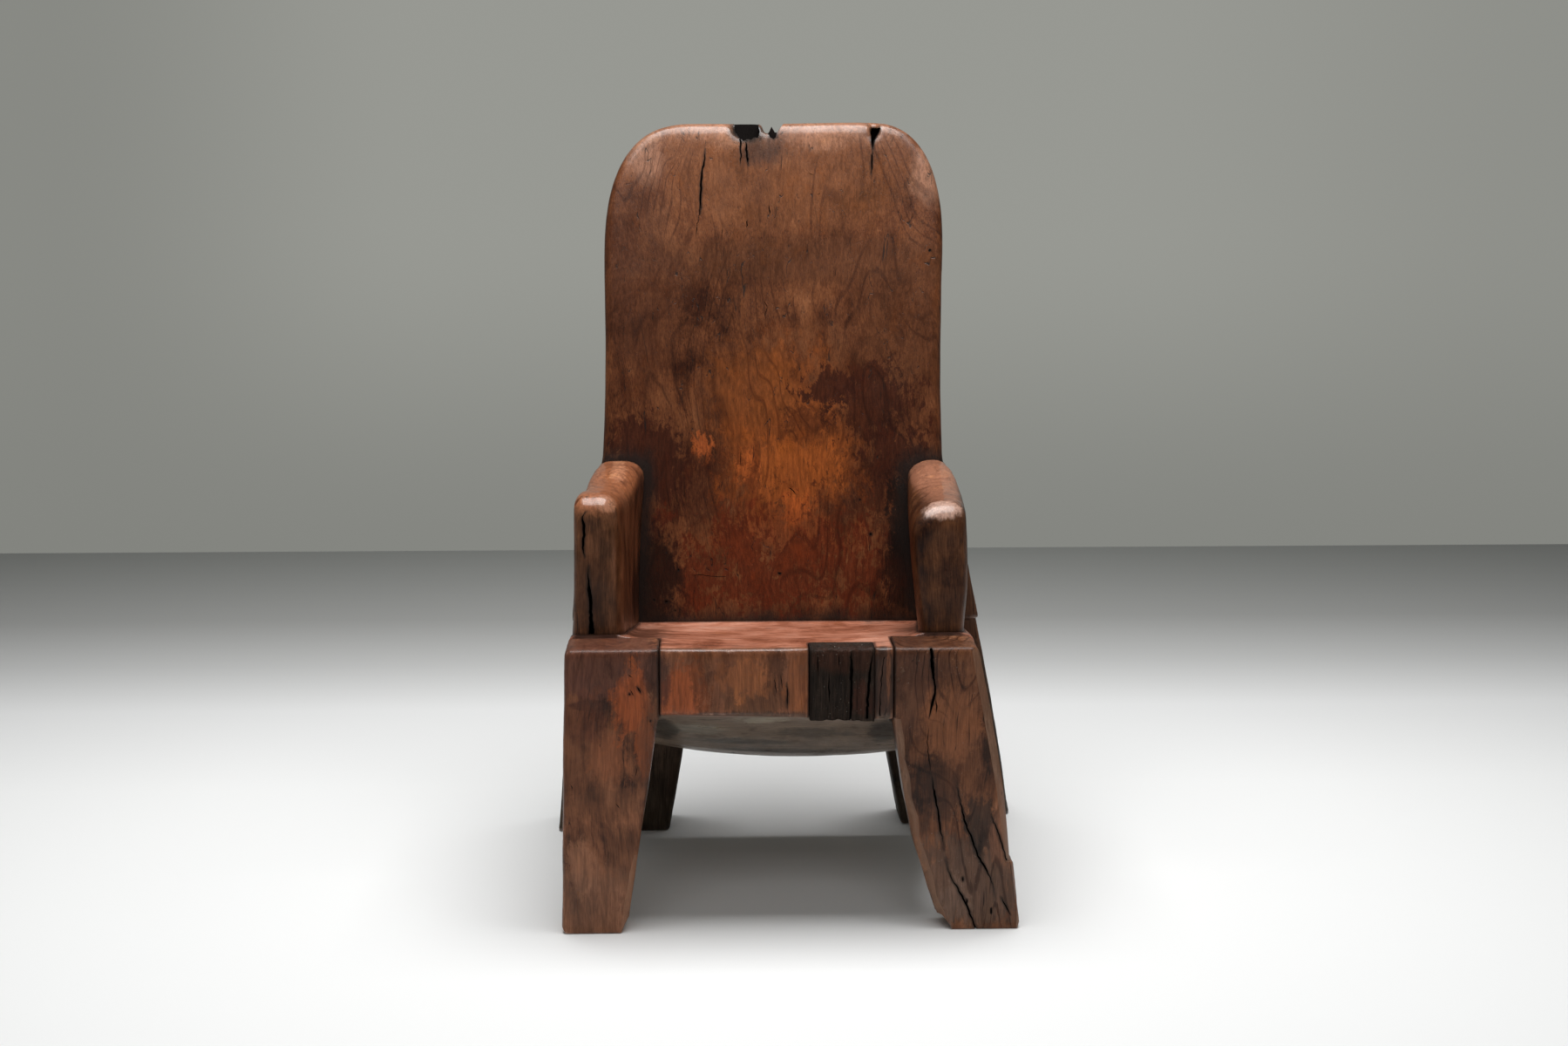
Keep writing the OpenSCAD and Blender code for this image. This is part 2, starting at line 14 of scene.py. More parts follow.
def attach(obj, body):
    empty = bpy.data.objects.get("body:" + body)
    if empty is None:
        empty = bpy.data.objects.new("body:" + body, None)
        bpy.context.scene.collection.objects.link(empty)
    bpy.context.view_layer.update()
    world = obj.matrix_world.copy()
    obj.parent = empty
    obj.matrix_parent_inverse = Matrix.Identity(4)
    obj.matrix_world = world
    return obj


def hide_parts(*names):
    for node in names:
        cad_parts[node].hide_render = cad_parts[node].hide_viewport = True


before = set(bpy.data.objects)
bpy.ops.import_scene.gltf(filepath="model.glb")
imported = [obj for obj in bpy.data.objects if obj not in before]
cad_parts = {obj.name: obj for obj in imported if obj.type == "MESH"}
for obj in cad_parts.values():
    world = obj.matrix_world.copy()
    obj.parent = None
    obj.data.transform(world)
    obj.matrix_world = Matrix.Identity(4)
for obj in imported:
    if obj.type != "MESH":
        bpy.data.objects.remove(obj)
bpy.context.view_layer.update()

Three = tuple[float, float, float]

MM = 0.001
OUTSIDE = 2.0  # How far out a marking ray starts, in metres.
WELD = 0.02 * MM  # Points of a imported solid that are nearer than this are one.
RIM = 5 * MM  # How far the dark rim of a crack reaches.
SHARP = math.radians(48)  # Edges above this angle aren't smoothed.
FINE_CRACK = 2.7  # Up to this width in mm, a crack has no dark rim.
BLADE_SHARE = 0.62  # A blade's radius across, as a share of its crack's width.
BLADE_LIFT = 0.24  # How far a blade's middle line lies outside the wood, as a share of its depth.

# Cells of each noise in a metre of wood, from broad clouds to pores.
CLOUDS, PATCHES, BANDS, STREAKS, SPECKS, FIBRES, PORES = 6.5, 24.0, 38.0, 230.0, 330.0, 640.0, 900.0

# Colours that every block shares.
# Painted shade: the near black laid in hollows, inner corners and seams.
SHADE_COLOUR = (0.009, 0.005, 0.0035)
CRACK_RIM = (0.014, 0.008, 0.005)
# Painted shade: the near black of the walls of cracks, pits and holes.
CRACK_SHADE = (0.008, 0.005, 0.004)
HAIRLINE = (0.01, 0.006, 0.004)
DUST = (0.3, 0.26, 0.22)
RING = (0.34, 0.27, 0.22)

log = logging.getLogger("armchair")
BLOCKS = ("seat_block", "apron_inset", "backrest", "left_arm", "right_arm", "front_left_leg",
          "front_right_leg", "rear_left_leg", "rear_right_leg")


class Grain(Enum):
    """Direction in which the fibres of a block run."""

    UPRIGHT = (1.0, 1.0, 0.06)
    ACROSS = (0.06, 1.0, 1.0)


class Side(Enum):
    """Side of a block that a mark is laid on, as the way that it faces."""

    FRONT = (0, -1, 0)
    REAR = (0, 1, 0)
    LEFT = (-1, 0, 0)
    RIGHT = (1, 0, 0)
    BELOW = (0, 0, -1)

    def start(self, u: float, v: float) -> Vector:
        """Point outside the chair over the mark at u, v in metres.

        Args:
            u: first coordinate on the side, in metres.
            v: second one.

        Returns:
            The point.
        """
        out = Vector(self.value)
        mark = (u, 0, v) if out.y else (0, u, v) if out.x else (u, v, 0)
        return Vector(mark) + OUTSIDE * out


class Link:
    """An output of a node, on which + - * and / add Math nodes."""

    def __init__(self, tree: "Tree", socket: bpy.types.NodeSocket) -> None:
        """Wraps a socket of a tree."""
        self.tree = tree
        self.socket = socket

    def __add__(self, other: "Link | float") -> "Link":
        """Sum."""
        return self.tree.math("ADD", self, other)

    def __radd__(self, other: float) -> "Link":
        """Reflected sum."""
        return self.tree.math("ADD", other, self)

    def __sub__(self, other: "Link | float") -> "Link":
        """Difference."""
        return self.tree.math("SUBTRACT", self, other)

    def __rsub__(self, other: float) -> "Link":
        """Reflected difference, as in 1 - mask."""
        return self.tree.math("SUBTRACT", other, self)

    def __mul__(self, other: "Link | float") -> "Link":
        """Product."""
        return self.tree.math("MULTIPLY", self, other)

    def __rmul__(self, other: float) -> "Link":
        """Reflected product."""
        return self.tree.math("MULTIPLY", other, self)

    def __truediv__(self, other: "Link | float") -> "Link":
        """Quotient."""
        return self.tree.math("DIVIDE", self, other)

    def __rtruediv__(self, other: float) -> "Link":
        """Reflected quotient."""
        return self.tree.math("DIVIDE", other, self)


class Tree:
    """A node tree under construction, for shaders and for geometry alike."""

    def __init__(self, nodes: bpy.types.NodeTree) -> None:
        """Starts on an empty node tree."""
        self.nodes = nodes
        self.nodes.nodes.clear()

    def node(self, kind: str, settings: dict | None = None, inputs: dict | None = None) -> bpy.types.Node:
        """Adds any node.

        Args:
            kind: the node's type.
            settings: its own settings, set first; "stops" gives a colour ramp's stops.
            inputs: values or links by socket name or number.

        Returns:
            The new node.
        """
        made = self.nodes.nodes.new(kind)
        for name, value in (settings or {}).items():
            if name == "stops":
                self._stops(made.color_ramp, value)
            else:
                setattr(made, name, value)
        for name, value in (inputs or {}).items():
            self.feed(made.inputs[name], value)
        return made

    def link(self, kind: str, settings: dict | None = None, inputs: dict | None = None,
             output: int | str = 0) -> Link:
        """Adds any node and takes one of its outputs."""
        return Link(self, self.node(kind, settings, inputs).outputs[output])

    def feed(self, socket: bpy.types.NodeSocket, value: object) -> None:
        """Links or sets one input socket.

        Args:
            socket: the input.
            value: a link or a plain value.
        """
        if isinstance(value, Link):
            self.nodes.links.new(value.socket, socket)
        else:
            socket.default_value = value

    @staticmethod
    def _stops(ramp: bpy.types.ColorRamp, stops: list) -> None:
        """Fills a colour ramp with (position, colour) stops.

        Args:
            ramp: the ramp.
            stops: the stops, from low to high.
        """
        while len(ramp.elements) < len(stops):
            ramp.elements.new(0.5)
        for element, (place, colour) in zip(ramp.elements, stops):
            element.position = place
            element.color = (*colour, 1.0)

    def math(self, operation: str, a: "Link | float", b: "Link | float" = 0.0) -> Link:
        """One Math node."""
        return self.link("ShaderNodeMath", {"operation": operation}, {0: a, 1: b})

    def vector(self, operation: str, a: object, b: object = (0, 0, 0)) -> Link:
        """One Vector Math node."""
        output = "Value" if operation in ("LENGTH", "DOT_PRODUCT") else "Vector"
        return self.link("ShaderNodeVectorMath", {"operation": operation}, {0: a, 1: b}, output)

    def scaled(self, vector: Link, factor: Link) -> Link:
        """A vector times a number."""
        return self.link("ShaderNodeVectorMath", {"operation": "SCALE"}, {0: vector, "Scale": factor})

    def part(self, vector: Link, axis: str) -> Link:
        """One coordinate of a vector."""
        return self.link("ShaderNodeSeparateXYZ", None, {0: vector}, axis)

    def between(self, value: Link, low: float, high: float, at_low: float = 0.0,
                at_high: float = 1.0) -> Link:
        """Smooth step of a value from low to high."""
        return self.link("ShaderNodeMapRange", {"interpolation_type": "SMOOTHSTEP"},
                         {"Value": value, 1: low, 2: high, 3: at_low, 4: at_high}, "Result")

    def noise(self, at: Link, scale: object, detail: float = 2.0, rough: float = 0.5, seed: object = 0.0,
              twist: float = 0.0) -> Link:
        """Noise from 0 to 1 with a fixed seed.

        Args:
            at: coordinates.
            scale: cells in a metre.
            detail: layers of finer noise.
            rough: how strong the finer layers are.
            seed: what tells one noise from another.
            twist: how much it curls.

        Returns:
            The noise.
        """
        return self.link("ShaderNodeTexNoise", {"noise_dimensions": "4D"}, {
            "Vector": at, "W": seed, "Scale": scale, "Detail": detail, "Roughness": rough,
            "Distortion": twist}, "Fac")

    def stray(self, at: Link, scale: float, detail: float, rough: float = 0.5,
              seed: Link | None = None) -> Link:
        """Noise in three directions about zero.

        Args:
            at: coordinates.
            scale: cells in a metre.
            detail: layers of finer noise.
            rough: how strong the finer layers are.
            seed: a tree's seed, where it has one.

        Returns:
            A vector, each part from -0.5 to 0.5.
        """
        settings, inputs = {}, {"Vector": at, "Scale": scale, "Detail": detail, "Roughness": rough}
        if seed is not None:
            settings["noise_dimensions"] = "4D"
            inputs["W"] = seed
        wild = self.link("ShaderNodeTexNoise", settings, inputs, "Color")
        return self.vector("SUBTRACT", wild, (0.5, 0.5, 0.5))


class Shade(Tree):
    """A material under construction."""

    def __init__(self, name: str) -> None:
        """Starts a material with that name.

        Args:
            name: the material's name.
        """
        self.material = bpy.data.materials.new(name)
        self.material.use_nodes = True
        super().__init__(self.material.node_tree)

    def mix(self, factor: object, under: object, over: object, blend: str = "MIX") -> Link:
        """Lays one colour over another."""
        return self.link("ShaderNodeMix", {"data_type": "RGBA", "blend_type": blend},
                         {"Factor": factor, 6: self._rgba(under), 7: self._rgba(over)}, 2)

    @staticmethod
    def _rgba(colour: object) -> object:
        """Adds alpha to a plain colour."""
        return (*colour, 1.0) if isinstance(colour, tuple) else colour

    def place(self) -> Link:
        """Object coordinates."""
        return self.link("ShaderNodeTexCoord", output="Object")

    def attribute(self, name: str) -> Link:
        """A number that the carving left on the mesh."""
        return self.link("ShaderNodeAttribute", {"attribute_name": name, "attribute_type": "GEOMETRY"},
                         None, "Fac")

    def close(self, surface: Link) -> bpy.types.Material:
        """Ends the material with its surface."""
        self.node("ShaderNodeOutputMaterial", None, {"Surface": surface})
        return self.material


@dataclass(frozen=True)
class Stain:
    """A patch of colour: centre and half widths in mm, with its colour, strength, raggedness and how
    crisp its rim is."""

    at: Three
    reach: Three
    colour: Three
    strength: float = 0.7
    ragged: float = 0.5
    crisp: float = 0.0


def patches(y: float, deep: float, *rows: tuple) -> tuple[Stain, ...]:
    """Stains on one face of a block.

    Args:
        y: where their centres lie along Y.
        deep: how far they reach along Y.
        rows: x, z, half width, half height and colour of each, then its strength, raggedness and rim.

    Returns:
        The stains.
    """
    return tuple(Stain((x, y, z), (wide, deep, tall), *rest) for x, z, wide, tall, *rest in rows)


@dataclass(frozen=True)
class Wood:
    """Finish of a waxed hardwood block: its tones from deep to pale, its figure, stains and polish.
    Most numbers are strengths from 0 up. The places rubbed_above and front_at are in mm, rings says how
    close the growth rings lie, and sway is how far the grain bends, in metres."""

    name: str
    grain: Grain
    tones: tuple[Three, ...]
    stains: tuple[Stain, ...] = ()
    clouds: float = 1.8
    bands: float = 0.8
    streaks: float = 0.7
    fibres: float = 0.9
    blotches: float = 1.5
    mottle: float = 0.6
    hairlines: float = 0.7
    figure: float = 0.5
    rings: float = 150.0
    swirl: float = 0.5
    roughness: float = 0.38
    gloss: float = 1.25
    wax: float = 0.08
    rubbed_above: float = 9999.0
    bump: float = 0.6
    # Paler worn edges, which also stand in as painted highlights on rounded edges: colour, then strength.
    worn_highlight: Three = (0.3, 0.14, 0.08)
    wear_highlight: float = 0.35
    fresh: Three = (0.3, 0.15, 0.085)
    dust: float = 0.0
    # Strength of the painted shade in hollows, inner corners and seams.
    painted_shade: float = 0.85
    front_grain: Grain | None = None
    front_at: float = -329.0
    sway: float = 0.06
    seed: float = 1.0

    def material(self) -> bpy.types.Material:
        """Builds the finish.

        Returns:
            The material.
        """
        s = Shade(self.name)
        at = s.place()
        swayed = s.vector("ADD", at, s.vector("MULTIPLY", s.stray(at, 4.0, 2.0), (self.sway,) * 3))
        run = self._run(s, at)
        along = s.vector("MULTIPLY", swayed, run)
        straight = s.vector("MULTIPLY", at, run)

        cloud = s.noise(at, CLOUDS, 4.0, 0.6, self.seed)
        band = s.noise(along, BANDS, 3.0, 0.55, self.seed + 1, self.swirl)
        streak = s.noise(along, STREAKS, 4.0, 0.62, self.seed + 2, self.swirl * 0.5)
        fibre = s.noise(straight, FIBRES, 3.0, 0.7, self.seed + 3)
        patch = s.noise(s.vector("MULTIPLY", swayed, (1.0, 1.0, 0.55)), PATCHES, 8.0, 0.66, self.seed + 4)
        tone = (cloud * self.clouds + band * self.bands + streak * self.streaks + fibre * self.fibres
                + patch * self.blotches
                + (0.5 - 0.5 * (self.clouds + self.bands + self.streaks + self.fibres + self.blotches)))
        steps = len(self.tones) - 1
        stops = [(0.08 + 0.84 * k / steps, c) for k, c in enumerate(self.tones)]
        colour = s.link("ShaderNodeValToRGB", {"stops": stops}, {"Fac": tone}, "Color")

        colour = self._stained(s, at, swayed, patch, streak, colour)
        colour = self._figured(s, swayed, run, streak, colour)
        colour = self._mottled(s, patch, streak, fibre, colour)
        colour, pores = self._lines(s, along, straight, colour)

        hollow, cut = s.attribute("hollow"), s.attribute("cut")
        split, edge, joint = s.attribute("split"), s.attribute("edge"), s.attribute("joint")
        # Worn edges: partly real wear, partly a painted highlight on rounded edges.
        worn_highlight = s.between(edge + (streak - 0.5) * 0.9 + (patch - 0.5) * 1.2, 0.45, 1.0)
        colour = s.mix(worn_highlight * self.wear_highlight, colour, self.worn_highlight)
        # Painted shade: darker in hollows, near the blocks in the inner corners and along the seams.
        painted_shade = s.math("MAXIMUM", s.between(hollow, 0.3, 1.0),
                       s.between(joint + (patch - 0.5) * 1.5, 0.25, 1.0))
        painted_shade = s.math("MAXIMUM", painted_shade, s.between(s.attribute("seam"), 0.0, 0.7) * 0.9)
        colour = s.mix(painted_shade * self.painted_shade, colour, SHADE_COLOUR)
        near = s.between(split + (patch - 0.5) * 1.6, 0.35, 1.0)
        colour = s.mix(near * 0.7, colour, CRACK_RIM)
        bare = s.attribute("fresh") * s.between(patch + streak * 0.5, 0.55, 0.8, 1.0, 0.45)
        colour = s.mix(bare, colour, self.fresh)
        if self.dust:
            speck = s.between(s.noise(at, SPECKS, 3.0, 0.7, self.seed + 23), 0.64, 0.7)
            colour = s.mix(speck * s.between(patch, 0.42, 0.56) * self.dust, colour, DUST)
        # Painted shade: the walls of cracks, pits and holes turn near black.
        colour = s.mix(cut * 0.96, colour, CRACK_SHADE)

        rough = (0.3 * (cloud - 0.5) + 0.35 * (patch - 0.5) + 0.2 * (streak - 0.5) + self.roughness
                 + 0.3 * cut + 0.2 * painted_shade - 0.08 * worn_highlight + 0.2 * pores)
        height = (s.between(fibre, 0.3, 0.62) * 0.22 + streak * 0.7 + patch * 0.5 - pores * 0.7
                  + s.noise(at, 190.0, 2.0, 0.6, self.seed + 9) * 0.3)
        bump = s.link("ShaderNodeBump", None,
                      {"Strength": self.bump, "Distance": 0.9 * MM, "Height": height})
        rubbed = s.between(s.part(at, "Z"), self.rubbed_above * MM, (self.rubbed_above + 30) * MM)
        polish = ((0.3 + 1.4 * cloud) * self.wax + s.between(edge, 0.25, 0.8) * 0.9
                  + rubbed * s.between(patch, 0.36, 0.62, 0.65, 0.3))
        return s.close(s.link("ShaderNodeBsdfPrincipled", None, {
            "Base Color": colour, "Roughness": rough, "Coat Weight": (1 - cut) * polish,
            "Coat Roughness": 0.15, "Coat IOR": 1.5, "IOR": self.gloss, "Normal": bump}))

    def _run(self, s: Shade, at: Link) -> object:
        """How the coordinates are drawn out along the grain, which may turn at the front face.

        Args:
            s: the material.
            at: object coordinates.

        Returns:
            A vector, or the link that gives it.
        """
        if self.front_grain is None:
            return self.grain.value
        at_front = s.between(s.part(at, "Y"), (self.front_at + 0.2) * MM, self.front_at * MM)
        return s.link("ShaderNodeMix", {"data_type": "VECTOR"},
                      {0: at_front, 4: self.grain.value, 5: self.front_grain.value}, 1)

    def _figured(self, s: Shade, swayed: Link, run: object, streak: Link, colour: Link) -> Link:
        """Dark growth rings that follow the swaying grain and come and go.

        Args:
            s: the material.
            swayed: bent object coordinates.
            run: how they are drawn out along the grain.
            streak: noise drawn out along the grain.
            colour: the colour below.

        Returns:
            The figured colour.
        """
        easy = s.vector("ADD", s.vector("MULTIPLY", run, (0.85, 0.85, 0.85)), (0.15, 0.15, 0.15))
        flow = s.noise(s.vector("MULTIPLY", swayed, easy), 5.0, 2.5, 0.5, self.seed + 20, 0.4)
        ring = s.math("SINE", flow * self.rings)
        shown = s.between(s.noise(swayed, 8.0, 2.0, 0.5, self.seed + 21), 0.4, 0.6)
        lines = s.between(ring + (streak - 0.5) * 1.2, 0.72, 1.0) * shown
        return s.mix(lines * self.figure, colour, RING, "MULTIPLY")

    def _stained(self, s: Shade, at: Link, swayed: Link, patch: Link, streak: Link, colour: Link) -> Link:
        """Lays the stains over the ground colour, with rims that follow the grain.

        Args:
            s: the material.
            at: object coordinates.
            swayed: the same, bent.
            patch: blotchy noise.
            streak: noise drawn out along the grain.
            colour: the colour below.

        Returns:
            The stained colour.
        """
        drawn = s.vector("MULTIPLY", swayed, (1.0, 1.0, 0.6))
        rag = s.stray(drawn, 15.0, 7.0, 0.66)
        froth = s.noise(drawn, 95.0, 8.0, 0.8, self.seed + 22, 0.6)
        wild = (patch - 0.5) * 1.6 + (streak - 0.5) * 0.4 + (froth - 0.5) * 3.0
        for stain in self.stains:
            centre = tuple(-v * MM for v in stain.at)
            shrink = tuple(1 / (v * MM) for v in stain.reach)
            off = s.vector("MULTIPLY", s.vector("ADD", at, centre), shrink)
            off = s.vector("ADD", off, s.vector("MULTIPLY", rag, (1.8 * stain.ragged,) * 3))
            rim = 0.32 - 0.26 * stain.crisp
            mask = s.between(s.vector("LENGTH", off) + wild * stain.ragged, 0.88 + rim, 0.88 - rim)
            colour = s.mix(mask * stain.strength, colour, self._flecked(s, streak, stain.colour))
        return colour

    @staticmethod
    def _flecked(s: Shade, streak: Link, colour: Three) -> Link:
        """A stain's colour, which the grain shows through."""
        deep, pale = (tuple(v * k for v in colour) for k in (0.68, 1.3))
        return s.mix(s.between(streak, 0.34, 0.66), deep, pale)

    def _mottled(self, s: Shade, patch: Link, streak: Link, fibre: Link, colour: Link) -> Link:
        """Dark and light flecks of old varnish, and fine dark fibres.

        Args:
            s: the material.
            patch: blotchy noise.
            streak: noise drawn out along the grain.
            fibre: the finest such noise.
            colour: the colour below.

        Returns:
            The mottled colour.
        """
        dark = s.between(patch + (streak - 0.5) * 0.3, 0.54, 0.68)
        light = s.between(patch + (streak - 0.5) * 0.3, 0.46, 0.32)
        colour = s.mix(dark * self.mottle, colour, (0.36, 0.3, 0.28), "MULTIPLY")
        colour = s.mix(light * self.mottle * 0.8, colour, (1.0, 0.9, 0.74), "SOFT_LIGHT")
        thread = s.between(fibre, 0.47, 0.36) * s.between(streak, 0.4, 0.6)
        return s.mix(thread * self.fibres * 0.55, colour, (0.4, 0.36, 0.34), "MULTIPLY")

    def _lines(self, s: Shade, along: Link, straight: Link, colour: Link) -> tuple[Link, Link]:
        """Dark pores and long hairlines.

        Args:
            s: the material.
            along: swaying coordinates, drawn out along the grain.
            straight: the same without the sway.
            colour: the colour below.

        Returns:
            The colour, and the mask of pores and lines for the bump.
        """
        pore = s.noise(straight, PORES, 1.0, 0.5, self.seed + 6)
        thick = s.noise(along, 60.0, 2.0, 0.5, self.seed + 7)
        pores = s.between(pore, 0.62, 0.7) * s.between(thick, 0.42, 0.6)
        wave = s.noise(along, 40.0, 3.0, 0.5, self.seed + 8, 0.5)
        line = s.between(s.math("ABSOLUTE", wave - 0.5), 0.008, 0.002)
        lines = line * s.between(s.noise(along, 70.0, 3.0, 0.6, self.seed + 10), 0.52, 0.6)
        colour = s.mix(pores * 0.5, colour, (0.3, 0.25, 0.22), "MULTIPLY")
        return s.mix(lines * self.hairlines, colour, HAIRLINE), s.math("MAXIMUM", pores, lines)


@dataclass(frozen=True)
class Split:
    """A crack on one side of a block: its line in mm, widest opening and depth, and raggedness."""

    line: tuple[tuple[float, float], ...]
    width: float
    depth: float
    side: Side = Side.FRONT
    ragged: float = 0.8
    open_end: bool = False


@dataclass(frozen=True)
class Pit:
    """A small hole or dent: its place in mm on one side, its half sizes across, up and into the wood."""

    at: tuple[float, float]
    size: Three
    side: Side = Side.FRONT


@dataclass(frozen=True)
class Chip:
    """A piece broken or cut away: its outline in mm as seen from the front, and where it starts and ends
    along Y. A bevel's outline is moved by lean at its far end, and fresh leaves its faces pale."""

    outline: tuple[tuple[float, float], ...]
    near: float
    far: float
    # When set, the walls are near black, as painted shade.
    shade_inside: bool = False
    lean: tuple[float, float] = (0.0, 0.0)
    fresh: bool = False


@dataclass(frozen=True)
class Hewing:
    """How a block's surface is cut and rubbed down. Depths in mm, sizes of the cuts in mm."""

    facet: float = 0.9
    facet_size: float = 85.0
    ripple: float = 0.3
    ripple_size: float = 26.0
    furrow: float = 0.0
    furrow_size: float = 7.0
    furrow_grain: Grain = Grain.UPRIGHT
    rotten_below: float = -100.0
    cove: float = 0.0
    cove_reach: float = 22.0
    # How far the painted shade reaches from the inner corners, in mm.
    shade_reach: float = 30.0
    easing: int = 3
    seed: int = 1


class GeometryTree(Tree):
    """A Geometry Nodes tree with named inputs."""

    def __init__(self, name: str, inputs: list[tuple[str, str, object]]) -> None:
        """Makes the group and its interface.

        Args:
            name: the group's name.
            inputs: (name, socket type, default) of each input after the geometry.
        """
        group = bpy.data.node_groups.new(name, "GeometryNodeTree")
        super().__init__(group)
        group.interface.new_socket("Geometry", in_out="INPUT", socket_type="NodeSocketGeometry")
        for label, kind, default in inputs:
            socket = group.interface.new_socket(label, in_out="INPUT", socket_type=kind)
            if default is not None:
                socket.default_value = default
        group.interface.new_socket("Geometry", in_out="OUTPUT", socket_type="NodeSocketGeometry")
        self.group = group
        self.inward = self.node("NodeGroupInput")

    def given(self, label: str) -> Link:
        """One of the named inputs."""
        return Link(self, self.inward.outputs[label])

    def finish(self, geometry: Link) -> bpy.types.NodeTree:
        """Ends the tree in Realize Instances and Set Material.

        Args:
            geometry: what the tree has made.

        Returns:
            The node group.
        """
        real = self.link("GeometryNodeRealizeInstances", None, {"Geometry": geometry})
        smooth = self.link("GeometryNodeSetShadeSmooth", None, {"Geometry": real})
        dressed = self.link("GeometryNodeSetMaterial", None,
                            {"Geometry": smooth, "Material": self.given("Material")})
        self.node("NodeGroupOutput", None, {"Geometry": dressed})
        return self.group


def hewn_tree() -> bpy.types.NodeTree:
    """Tree that turns a smooth block into an adze-cut one, rubbed smooth with use.

    Returns:
        The node group.
    """
    t = GeometryTree("hewn_surface", [
        ("Facet depth", "NodeSocketFloat", 0.0012), ("Facet size", "NodeSocketFloat", 0.085),
        ("Ripple depth", "NodeSocketFloat", 0.0004), ("Ripple size", "NodeSocketFloat", 0.026),
        ("Furrow depth", "NodeSocketFloat", 0.0), ("Furrow size", "NodeSocketFloat", 0.007),
        ("Furrow stretch", "NodeSocketVector", (1.0, 1.0, 0.06)),
        ("Rotten below", "NodeSocketFloat", -0.1),
        ("Cove height", "NodeSocketFloat", 0.0), ("Cove reach", "NodeSocketFloat", 0.022),
        # The corner inputs set how far and how strongly shade is painted near the inner corners.
        ("Corners", "NodeSocketObject", None), ("Corner shade", "NodeSocketFloat", 0.0),
        ("Shade reach", "NodeSocketFloat", 0.03),
        ("Neighbours", "NodeSocketObject", None), ("Easing", "NodeSocketInt", 3),
        ("Seed", "NodeSocketFloat", 1.0), ("Material", "NodeSocketMaterial", None),
    ])
    spot = t.link("GeometryNodeInputPosition")
    facing = t.link("GeometryNodeInputNormal")

    def distance_to(label: str) -> Link:
        """Distance from each point to the named object.

        Args:
            label: the object's input.

        Returns:
            The distance in metres.
        """
        other = t.link("GeometryNodeObjectInfo", {"transform_space": "RELATIVE"}, {"Object": t.given(label)},
                       "Geometry")
        return t.link("GeometryNodeProximity", {"target_element": "FACES"},
                      {"Geometry": other, "Sample Position": spot}, "Distance")

    def blurred(rounds: object, weight: object = 1.0) -> Link:
        """Each point's place, blurred with its neighbours'."""
        return t.link("GeometryNodeBlurAttribute", {"data_type": "FLOAT_VECTOR"},
                      {"Value": spot, "Iterations": rounds, "Weight": weight})

    def cuts(size: str, seed: float, detail: float, stretch: object = (1, 1, 1)) -> Link:
        """Noise from 0 to 1 whose cells are as large as the named size."""
        place = t.vector("MULTIPLY", spot, stretch)
        return t.noise(place, 1.0 / t.given(size), detail, 0.5, t.given("Seed") + seed)

    def near(distance: Link, reach: str) -> Link:
        """1 at a distance of nothing, down to 0 at the named reach."""
        return 1 - t.math("MINIMUM", distance / t.given(reach), 1.0)

    def noted(geometry: Link, name: str, value: Link) -> Link:
        """Leaves a number on every point."""
        return t.link("GeometryNodeStoreNamedAttribute", {"data_type": "FLOAT", "domain": "POINT"},
                      {"Geometry": geometry, "Name": name, "Value": value})

    gap = distance_to("Neighbours")
    soft = blurred(t.given("Easing"), t.between(gap, 0.0015, 0.011))
    eased = t.link("GeometryNodeSetPosition", None, {"Geometry": t.given("Geometry"), "Position": soft})

    facets = t.between(cuts("Facet size", 0.0, 1.0), 0.25, 0.75)
    ripple = cuts("Ripple size", 3.0, 2.0)
    furrow = t.between(cuts("Furrow size", 5.0, 4.0, t.given("Furrow stretch")), 0.35, 0.75)
    height = t.part(spot, "Z")
    rot = t.math("MAXIMUM", t.math("GREATER_THAN", -0.05, t.given("Rotten below")),
                 t.between(height - t.given("Rotten below") + 0.02 * (ripple - 0.5), 0.02, -0.02))
    sink = (facets * t.given("Facet depth") + ripple * t.given("Ripple depth")
            + furrow * t.given("Furrow depth") * rot)
    sink = sink * t.between(height, 0.0, 0.012) * t.between(gap, 0.0, 0.014)
    corner = distance_to("Corners")
    share = near(corner, "Cove reach")
    rise = share * share * t.given("Cove height") * t.between(t.part(facing, "Z"), 0.5, 0.9)
    shift = t.vector("ADD", t.scaled(facing, sink * -1.0), t.link("ShaderNodeCombineXYZ", None, {"Z": rise}))
    cut = t.link("GeometryNodeSetPosition", None, {"Geometry": eased, "Offset": shift})

    free = t.between(gap, 0.003, 0.012)
    # hollow marks hollows for painted shade; edge marks rounded edges for wear and painted highlights.
    for name, rounds, sign, full in (("hollow", 5, 1.0, 0.0011), ("edge", 7, -1.0, 0.0022)):
        lean = t.vector("DOT_PRODUCT", t.vector("SUBTRACT", blurred(rounds), spot), facing)
        cut = noted(cut, name, t.between(lean * sign, 0.0, full) * free)
    # Masks for painted shade near the inner corners and along the seams.
    cut = noted(cut, "joint", near(corner, "Shade reach") * t.given("Corner shade"))
    cut = noted(cut, "seam", t.between(gap, 0.005, 0.0))
    return t.finish(cut)


